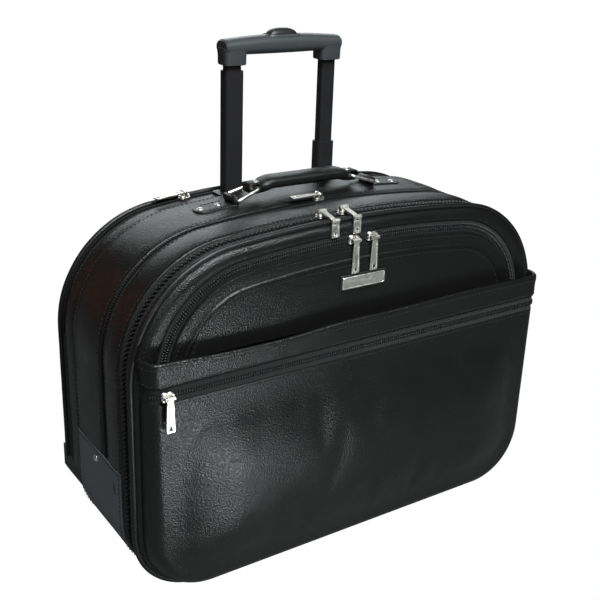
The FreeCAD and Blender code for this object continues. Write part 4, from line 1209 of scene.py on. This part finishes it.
CHAPE_PROFILE = ((-1, -0.6), (-1, 1.3), (-0.96, 1.9), (-0.86, 2.15), (-0.4, 2.3), (0, 2.3), (0.4, 2.3),
                 (0.86, 2.15), (0.96, 1.9), (1, 1.3), (1, -0.6))


def build_chapes():
    """The leather tabs that fold round the rings and are riveted to the case."""
    parts = []
    for side in (-1, 1):
        sections = []
        xs = list(np.linspace(74.0, 104.0, 16))
        xs += [104.0 + 10.0 * math.sin(a) for a in np.linspace(0.15, 1.57, 10)]
        for x in xs:
            past = max(x - 104.0, 0.0) / 10.0
            half = 10.0 * math.sqrt(max(1 - past ** 2.4, 0.0)) + 0.05
            half = min(half, 10.0)
            base = top_z(x)
            ring = []
            for y, z in CHAPE_PROFILE:
                ring.append((side * x, HANDLE_Y + y * half, base + z))
            sections.append(ring)
        parts.append(swept("chape_skin", sections, PLAIN_LEATHER, 50))
        eye = []
        for y, size in ((-10.0, 0.2), (-10.0, 3.1), (-9.5, 3.6), (9.5, 3.6), (10.0, 3.1), (10.0, 0.2)):
            eye.append([(side * PIVOT_X + size * math.cos(a), HANDLE_Y + y, PIVOT_Z + size * math.sin(a))
                        for a in np.arange(24) / 24 * 2 * math.pi])
        parts.append(swept("chape_eye", eye, PLAIN_LEATHER, 50))
        for edge in (-1, 1):
            pts = [(side * x, HANDLE_Y + edge * 8.3, top_z(x) + 2.3) for x in np.linspace(82, 104, 12)]
            parts.append(stitch_row("chape_thread", pts, [(0, 0, 1)] * 12, 3.6, 2.6))
    join("chape_leather", parts, "root", "leather", ("handle_chapes",))


build_chapes()


# Trolley grip and badge

TUBE_X = 52.0
TUBE_Y = 60.5
GRIP_HALF = 62.8
GRIP_BAR_Z = 455.6
GRIP_SEAM_X = 57.5
SOCKET_Z = (436.0, 457.5)
SOCKET_HALF = (9.7, 7.2)


def cut_away(obj, tool):
    """Take one closed mesh out of another."""
    cut = obj.modifiers.new("cut", "BOOLEAN")
    cut.operation = "DIFFERENCE"
    cut.object = tool
    cut.solver = "EXACT"
    left_over = evaluated_mesh(obj)
    obj.modifiers.clear()
    obj.data = left_over
    smooth_by_angle(obj, 35)


def build_grip():
    """The moulded grip: a bar with a seam line, two legs with end plates and the button's collar."""
    parts = []
    sections = []
    for i in range(81):
        x = lerp(-GRIP_HALF, GRIP_HALF, i / 80)
        end = GRIP_HALF - abs(x)
        trim = 1.2 * (1 - dome(end / 1.6)) if end < 1.6 else 0.0
        groove = 0.35 * math.exp(-((abs(x) - GRIP_SEAM_X) / 0.45) ** 2)
        ring = []
        bow = math.cos(x / GRIP_HALF * math.pi / 2)
        for y, z in oval(10.6 - trim - groove, 6.8 + 1.9 * bow - trim - groove, 2.4, 44):
            ring.append((x, TUBE_Y + y, GRIP_BAR_Z + 1.2 * bow + z))
        sections.append(ring)
    parts.append(swept("grip_bar", sections, PLASTIC, 35))
    for side in (-1, 1):
        legs = []
        for z, grow in ((440.0, -0.7), (440.4, -0.2), (441.4, 0.0), (449.0, 0.1), (452.0, 0.5), (455.0, 0.6)):
            outline = oval(11.4 + grow, 9.8 + grow, 4.5, 40)
            legs.append([(side * TUBE_X + a, TUBE_Y + b, z) for a, b in outline])
        parts.append(swept("grip_leg", legs, PLASTIC, 35))
    for side in (-1, 1):
        outline = oval(*SOCKET_HALF, 8.0, 40)
        socket = swept("grip_socket", [[(side * TUBE_X + a, TUBE_Y + b, z) for a, b in outline]
                                       for z in SOCKET_Z], PLASTIC)
        for part in parts:
            cut_away(part, socket)
        bpy.data.objects.remove(socket)
    collar = []
    for z, grow in ((462.4, 1.6), (464.4, 1.5), (465.2, 1.0), (465.4, 0.2), (463.0, 0.2)):
        collar.append([(a, TUBE_Y + b, z) for a, b in oval(16.2 + grow, 7.2 + grow, 5.0, 48)])
    parts.append(swept("grip_collar", collar, PLASTIC, 35))
    join("grip_moulding", parts, "grip", "plastic", ("trolley_grip",))
    button = []
    for t in (0.0, 0.3, 0.55, 0.75, 0.9, 0.97, 1.0):
        size = math.sqrt(max(1 - t ** 2.6, 0.0))
        button.append([(a * lerp(0.15, 1, size), TUBE_Y + b * lerp(0.2, 1, size), 462.4 + 8.2 * t)
                       for a, b in oval(15.9, 6.9, 3.6, 48)])
    cap = swept("grip_button_cap", button, BLACK_PLASTIC, 50)
    join("button_cap", [cap], "grip_button", "plastic", ("grip_button",))


build_grip()


def build_badge():
    """The bare framed plate: a bevelled frame with a brushed, sunken face."""
    cx, cz, face = 0.0, 271.0, -82.8

    def stepped(name, rings, material):
        sections = []
        for half_x, half_z, y in rings:
            r = 1.9 * half_z / 7.5
            ring = []
            for sx, sz, start in ((1, 1, 0.0), (-1, 1, 0.5), (-1, -1, 1.0), (1, -1, 1.5)):
                for k in range(6):
                    a = math.pi * (start + k / 10)
                    x, z = sx * (half_x - r) + r * math.cos(a), sz * (half_z - r) + r * math.sin(a)
                    ring.append((cx + x, face + y, cz + z))
            sections.append(ring)
        return swept(name, sections, material, 30)
    surround_rings = ((25.0, 7.5, 0.3), (25.0, 7.5, -0.7), (24.6, 7.1, -1.1), (22.8, 5.3, -1.1))
    plate_rings = ((23.1, 5.6, -0.8), (23.1, 5.6, -1.6), (22.7, 5.2, -2.0), (22.2, 4.7, -2.0),
                   (21.9, 4.4, -1.7), (21.6, 4.1, -1.65))
    surround = stepped("badge_surround", surround_rings, BLACK_PLASTIC)
    plate_part = stepped("badge_frame", plate_rings, NICKEL)
    join("badge_plate", [plate_part, surround], "organiser_flap", "nickel", ("badge",))


build_badge()


# Zip sliders and pulls, made about a hinge rod along X and then set in place

ROD_Z = 5.9
LINK_LENGTH = 20.6
LINK_SLOPE = math.radians(9.0)


def tapered_outline(half_top, half_low, top_y, low_y, corner, count=14):
    """Outline of a flat pull in its own plane, with rounded corners."""
    pts = []
    for sx, half, y, start in ((1, half_top, top_y, 0.0), (-1, half_top, top_y, 0.5),
                               (-1, half_low, low_y, 1.0), (1, half_low, low_y, 1.5)):
        inward = -1 if y == top_y else 1
        cx, cy = sx * (half - corner), y + inward * corner
        for k in range(count):
            a = math.pi * (start + 0.5 * k / (count - 1))
            pts.append((cx + corner * math.cos(a), cy + corner * math.sin(a)))
    return pts


def inset(outline, centre, amount):
    """An outline drawn in towards its middle line."""
    out = []
    for x, y in outline:
        px = x - math.copysign(min(amount, abs(x)), x)
        low, high = min(p[1] for p in outline), max(p[1] for p in outline)
        t = (y - centre) / max(high - centre, centre - low)
        out.append((px, y - amount * max(-1.0, min(1.0, t * 1.6))))
    return out


def plate_with_hole(outline, hole_y, hole_x, hole_half, thickness, rim=1.1):
    """A flat plate with a raised rim and one oblong hole."""
    centre = sum(p[1] for p in outline) / len(outline)
    half = thickness / 2

    def hole(grow):
        pts = []
        for x, y in outline:
            a = math.atan2(y - hole_y, x)
            c, s = math.cos(a), math.sin(a)
            pts.append(((hole_x + grow) * bulge(c, 0.7), hole_y + (hole_half + grow) * bulge(s, 0.7)))
        return pts
    rings = [(outline, -half + 0.3), (outline, half - 0.3), (inset(outline, centre, 0.3), half),
             (inset(outline, centre, rim), half), (inset(outline, centre, rim + 0.35), half - 0.28),
             (hole(0.7), half - 0.28), (hole(0.25), half - 0.02), (hole(0.0), half - 0.2),
             (hole(0.0), -half + 0.2), (hole(0.3), -half), (inset(outline, centre, 0.3), -half),
             (outline, -half + 0.3)]
    return [[(x, y, z) for x, y in pts] for pts, z in rings]


def barrel(radius, half, y=0.0, z=0.0, lip=0.3):
    """Rings of a round bar along X with softened ends."""
    rings = []
    for x, r in ((-half, 0.05), (-half, radius - lip), (-half + lip, radius), (half - lip, radius),
                 (half, radius - lip), (half, 0.05)):
        rings.append([(x, y + r * math.cos(a), z + r * math.sin(a))
                      for a in np.arange(20) / 20 * 2 * math.pi])
    return rings


def slab_rings(outline, z0, z1, soft=0.35):
    """Rings of a flat block with softened rims."""
    centre = sum(p[1] for p in outline) / len(outline)
    small = inset(outline, centre, soft)
    return [[(x, y, z) for x, y in pts] for pts, z in
            ((small, z0), (outline, z0 + soft), (outline, z1 - soft), (small, z1))]


def placed(rings, matrix):
    """Rings of points carried by a matrix, in millimetres."""
    return [[tuple(matrix @ Vector(p)) for p in ring] for ring in rings]


def slider_mesh(matrix, turn):
    """A cast slider: waisted body, two ears, the rod between them and a small crown."""
    body = []
    for k in range(48):
        a = k / 48 * 2 * math.pi
        c, s = math.cos(a), math.sin(a)
        run = 5.4 * bulge(c, 0.55)
        waist = 0.5 * math.exp(-(run / 1.6) ** 2)
        wide = (4.4 - 0.7 * (run / 5.4 + 1) / 2 - waist) * bulge(s, 0.55)
        body.append((wide, run) if turn else (run, wide))
    parts = []
    for size, z0, z1, soft in ((1.0, 0.3, 1.3, 0.25), (0.72, 1.2, 2.2, 0.2), (1.0, 2.1, 3.3, 0.5)):
        layer = slab_rings([(x * size, y * size) for x, y in body], z0, z1, soft)
        parts.append(swept("slider_body", placed(layer, matrix), NICKEL, 30))
    for side in (-1, 1):
        ear = tapered_outline(0.65, 0.65, 1.7, -1.7, 0.3, 6)
        post = [(side * 3.85 + x, y) for x, y in ear]
        parts.append(swept("slider_ear", placed(slab_rings(post, 2.8, ROD_Z, 0.1), matrix), NICKEL, 35))
        knob = [[(x + side * 3.85, y, z) for x, y, z in ring] for ring in barrel(1.7, 0.65, 0.0, ROD_Z)]
        parts.append(swept("slider_ear", placed(knob, matrix), NICKEL, 35))
    parts.append(swept("slider_rod", placed(barrel(0.9, 3.4, 0.0, ROD_Z, 0.1), matrix), NICKEL, 35))
    return parts


def pull_mesh(matrix):
    """A long flat pull with a rolled eye."""
    plate = plate_with_hole(tapered_outline(3.2, 4.0, -4.0, -30.0, 1.5), -26.0, 1.45, 1.9, 1.6)
    neck = slab_rings(tapered_outline(2.75, 2.9, -0.4, -5.4, 0.5), -0.75, 0.75)
    parts = [swept("pull_plate", placed(plate, matrix), NICKEL, 35, False),
             swept("pull_neck", placed(neck, matrix), NICKEL, 35)]
    parts.append(swept("pull_eye", placed(barrel(1.95, 2.88), matrix), NICKEL, 35))
    return parts


def link_mesh(matrix):
    """The strap between a main slider and its pull."""
    strap = slab_rings(tapered_outline(2.85, 2.4, -0.2, -17.0, 1.0), -0.75, 0.75)
    tongue = slab_rings(tapered_outline(1.45, 1.45, -15.0, -20.6, 0.3), -0.7, 0.7)
    rings = [strap, tongue, barrel(1.95, 2.88), barrel(1.95, 1.48, -LINK_LENGTH)]
    return [swept("link", placed(r, matrix), NICKEL, 35) for r in rings]


def fork_mesh(matrix):
    """The main pull, forked at its top round the strap's eye."""
    plate = plate_with_hole(tapered_outline(3.95, 4.0, -3.2, -15.0, 1.3), -11.0, 1.45, 1.6, 1.6, 0.9)
    parts = [swept("pull_plate", placed(plate, matrix), NICKEL, 35, False),
             swept("pull_rod", placed(barrel(0.88, 2.6), matrix), NICKEL, 35)]
    for side in (-1, 1):
        knuckle = [[(x + side * 2.9, y, z) for x, y, z in ring] for ring in barrel(1.65, 1.05)]
        parts.append(swept("pull_knuckle", placed(knuckle, matrix), NICKEL, 35))
        narrow = tapered_outline(1.0, 1.0, 0.0, -4.2, 0.3, 6)
        prong = slab_rings([(x + side * 2.9, y) for x, y in narrow], -0.75, 0.75)
        parts.append(swept("pull_prong", placed(prong, matrix), NICKEL, 35))
    return parts


def arch_line_z(x):
    """Height of the arched zip's line at one place across its width."""
    run, lift = ARCH_X - ARCH_CORNER, -CROWN - ARCH_CORNER
    big = (ARCH_CORNER ** 2 - run ** 2 - lift ** 2) / (2 * lift + 2 * ARCH_CORNER)
    return ARCH_TOP - big + math.sqrt(big ** 2 - x ** 2)


def upright(x, y, z):
    """Placement on a zip that faces the front."""
    return Matrix.Translation((x, y, z)) @ Matrix.Rotation(math.pi / 2, 4, "X")


def seated(x, y, inset_by=0.0, drop=0.0):
    """Placement on the case's top arc, square to it."""
    run, corner = HALF_WIDTH - TOP_CORNER, TOP_CORNER - inset_by
    lift = -CROWN - corner
    big = (corner ** 2 - run ** 2 - lift ** 2) / (2 * lift + 2 * corner)
    lean = Matrix.Rotation(math.asin(x / big), 4, "Y")
    return Matrix.Translation((x, y, top_z(x, inset_by, drop))) @ lean


def metal_piece(name, parts, node):
    """A nickel piece that stands for a node and rides on the body of the same name."""
    join(name, parts, node, "nickel", (node,))


def build_sliders():
    """Every slider, link and pull at its rest place."""
    raised = Matrix.Translation((0, 0, ROD_Z))
    aside = Matrix.Rotation(-math.pi / 2, 4, "Z")
    places = {
        "arch_left": (upright(-10.0, SEAT_Y + 1, arch_line_z(-10.0)), raised, False),
        "arch_right": (upright(10.0, SEAT_Y + 1, arch_line_z(10.0)), raised, False),
        "pocket": (upright(-199.0, POCKET_Y, POCKET_ZIP_Z), raised, False),
        "second": (seated(-4.0, SECOND_ZIP_Y) @ aside, raised, True),
        "rear": (seated(-94.0, 74.7, BACK_INSET, BACK_DROP) @ aside, raised, True),
    }
    for name, (base, lift, turn) in places.items():
        metal_piece(name + "_slider_cast", slider_mesh(base, turn), name + "_slider")
        metal_piece(name + "_pull_plate", pull_mesh(base @ lift), name + "_pull")
    down = Matrix.Rotation(math.pi / 2, 4, "X")
    slope = Matrix.Rotation(LINK_SLOPE, 4, "X")
    along_link, down_link = LINK_LENGTH * math.cos(LINK_SLOPE), LINK_LENGTH * math.sin(LINK_SLOPE)
    end = Matrix.Translation((0, -along_link, ROD_Z - down_link))
    for name, x in (("main_left", -31.0), ("main_right", -8.0)):
        base = seated(x, MAIN_ZIP_Y)
        metal_piece(name + "_slider_cast", slider_mesh(base, False), name + "_slider")
        metal_piece(name + "_link_strap", link_mesh(base @ raised @ slope), name + "_link")
        metal_piece(name + "_pull_plate", fork_mesh(base @ end @ down), name + "_pull")


build_sliders()


# Hard parts that keep their own shape

def finish_node(name, material, slot_name, bevel=0.0):
    """Gives a hard part its material, and softens its edges."""
    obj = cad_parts[name]
    obj.data.materials.clear()
    obj.data.materials.append(material)
    if bevel:
        rounding = obj.modifiers.new("edges", "BEVEL")
        rounding.width = bevel * MM
        rounding.segments = 3
        rounding.limit_method = "ANGLE"
        rounding.angle_limit = math.radians(35)
        rounding.harden_normals = True


HARD = {
    "wheel_housings": (BLACK_PLASTIC, "plastic", 0.8),
    "front_feet": (RUBBER, "rubber", 0.8),
    "trolley_board": (BLACK_PLASTIC, "plastic", 0.0),
    "tube_bezels": (BLACK_PLASTIC, "plastic", 0.7),
    "tube_bracket": (BLACK_PLASTIC, "plastic", 0.6),
    "outer_tubes": (PAINTED, "tube_metal", 0.0),
    "left_middle_tube": (PAINTED, "tube_metal", 0.35),
    "right_middle_tube": (PAINTED, "tube_metal", 0.35),
    "inner_tubes": (PAINTED, "tube_metal", 0.0),
    "wheel_axles": (STEEL, "steel", 0.4),
    "left_wheel_tyre": (RUBBER, "rubber", 0.0),
    "right_wheel_tyre": (RUBBER, "rubber", 0.0),
    "left_wheel_hub": (BLACK_PLASTIC, "plastic", 0.6),
    "right_wheel_hub": (BLACK_PLASTIC, "plastic", 0.6),
}
for part, (look, slot_name, bevel) in HARD.items():
    finish_node(part, look, slot_name, bevel)


# Studio

COOL = (0.93, 0.985, 1.0)
WARM = (1.0, 0.32, 0.2)
WHITE_STRENGTH = 1.02
CAMERA_AZIMUTH = math.radians(-34.4)
CAMERA_RISE = math.radians(21.9)
CAMERA_ROLL = math.radians(2.1)
CAMERA_LENS = 58.85
CAMERA_TARGET = (-0.0097, 0.0, 0.2241)
CAMERA_DISTANCE = 0.9409


def area_light(name, place, target, size, power, color=(1, 1, 1), size_y=None):
    """A soft rectangular light, in metres and watts."""
    data = bpy.data.lights.new(name, "AREA")
    data.shape = "RECTANGLE"
    data.size, data.size_y = size, size_y or size
    data.energy = power
    data.color = color
    lamp = bpy.data.objects.new(name, data)
    bpy.context.scene.collection.objects.link(lamp)
    lamp.location = place
    lamp.visible_camera = False
    lamp.rotation_euler = (Vector(target) - Vector(place)).to_track_quat("-Z", "Y").to_euler()


def white_to_camera(tree, lit, glow_kind, output):
    """Plain white to the camera, and the lit shader to every other ray."""
    glow = tree.nodes.new(glow_kind)
    glow.inputs["Color"].default_value = (1, 1, 1, 1)
    glow.inputs["Strength"].default_value = WHITE_STRENGTH
    rays = tree.nodes.new("ShaderNodeLightPath")
    mix = tree.nodes.new("ShaderNodeMixShader")
    tree.links.new(rays.outputs["Is Camera Ray"], mix.inputs["Fac"])
    tree.links.new(lit.outputs[0], mix.inputs[1])
    tree.links.new(glow.outputs[0], mix.inputs[2])
    tree.links.new(mix.outputs["Shader"], tree.nodes[output].inputs["Surface"])


def white_floor():
    """A white floor that shows as plain white to the camera and still takes light for reflections."""
    mesh = bpy.data.meshes.new("floor")
    mesh.from_pydata([(-6, -6, 0), (6, -6, 0), (6, 6, 0), (-6, 6, 0)], [], [(0, 1, 2, 3)])
    obj = bpy.data.objects.new("floor", mesh)
    bpy.context.scene.collection.objects.link(obj)
    material = bpy.data.materials.new("floor_white")
    material.use_nodes = True
    tree = material.node_tree
    surface = tree.nodes["Principled BSDF"]
    surface.inputs["Base Color"].default_value = (0.12, 0.12, 0.12, 1)
    surface.inputs["Roughness"].default_value = 0.9
    white_to_camera(tree, surface, "ShaderNodeEmission", "Material Output")
    mesh.materials.append(material)


def studio():
    """White surroundings, the camera of the photo and soft lights."""
    scene = bpy.context.scene
    world = bpy.data.worlds.new("white")
    world.use_nodes = True
    tree = world.node_tree
    plain = tree.nodes["Background"]
    plain.inputs["Color"].default_value = (1, 1, 1, 1)
    plain.inputs["Strength"].default_value = 0.01
    white_to_camera(tree, plain, "ShaderNodeBackground", "World Output")
    scene.world = world
    scene.view_settings.view_transform = "Standard"
    area_light("key", (-0.75, -1.15, 1.25), (0, -0.1, 0.2), 0.45, 6.0, COOL)
    area_light("crown", (0.0, -1.05, 1.45), (-0.05, -0.1, 0.25), 0.4, 32.0, COOL)
    area_light("high", (-0.25, -0.55, 1.7), (-0.1, -0.1, 0.27), 0.3, 24.0, COOL)
    area_light("near", (-0.1, -0.42, 0.02), (-0.14, -0.12, 0.13), 0.16, 1.5, COOL, 0.12)
    area_light("rim", (0.75, 1.9, 1.15), (0, 0, 0.32), 2.0, 17.0, COOL, 0.7)
    area_light("warm", (-1.5, 1.75, 0.72), (-0.2, 0.1, 0.26), 0.45, 1.4, WARM)
    azimuth, rise, roll = CAMERA_AZIMUTH, CAMERA_RISE, CAMERA_ROLL
    back = Vector((math.sin(azimuth) * math.cos(rise), -math.cos(azimuth) * math.cos(rise), math.sin(rise)))
    right = (-back).cross(Vector((0, 0, 1))).normalized()
    up = right.cross(-back)
    tilt_x = right * math.cos(roll) + up * math.sin(roll)
    tilt_y = up * math.cos(roll) - right * math.sin(roll)
    data = bpy.data.cameras.new("camera")
    data.sensor_width = 36.0
    data.lens = CAMERA_LENS
    camera = bpy.data.objects.new("camera", data)
    scene.collection.objects.link(camera)
    place = Matrix((tilt_x, tilt_y, back)).transposed().to_4x4()
    place.translation = Vector(CAMERA_TARGET) + back * CAMERA_DISTANCE
    camera.matrix_world = place
    scene.camera = camera


white_floor()
studio()
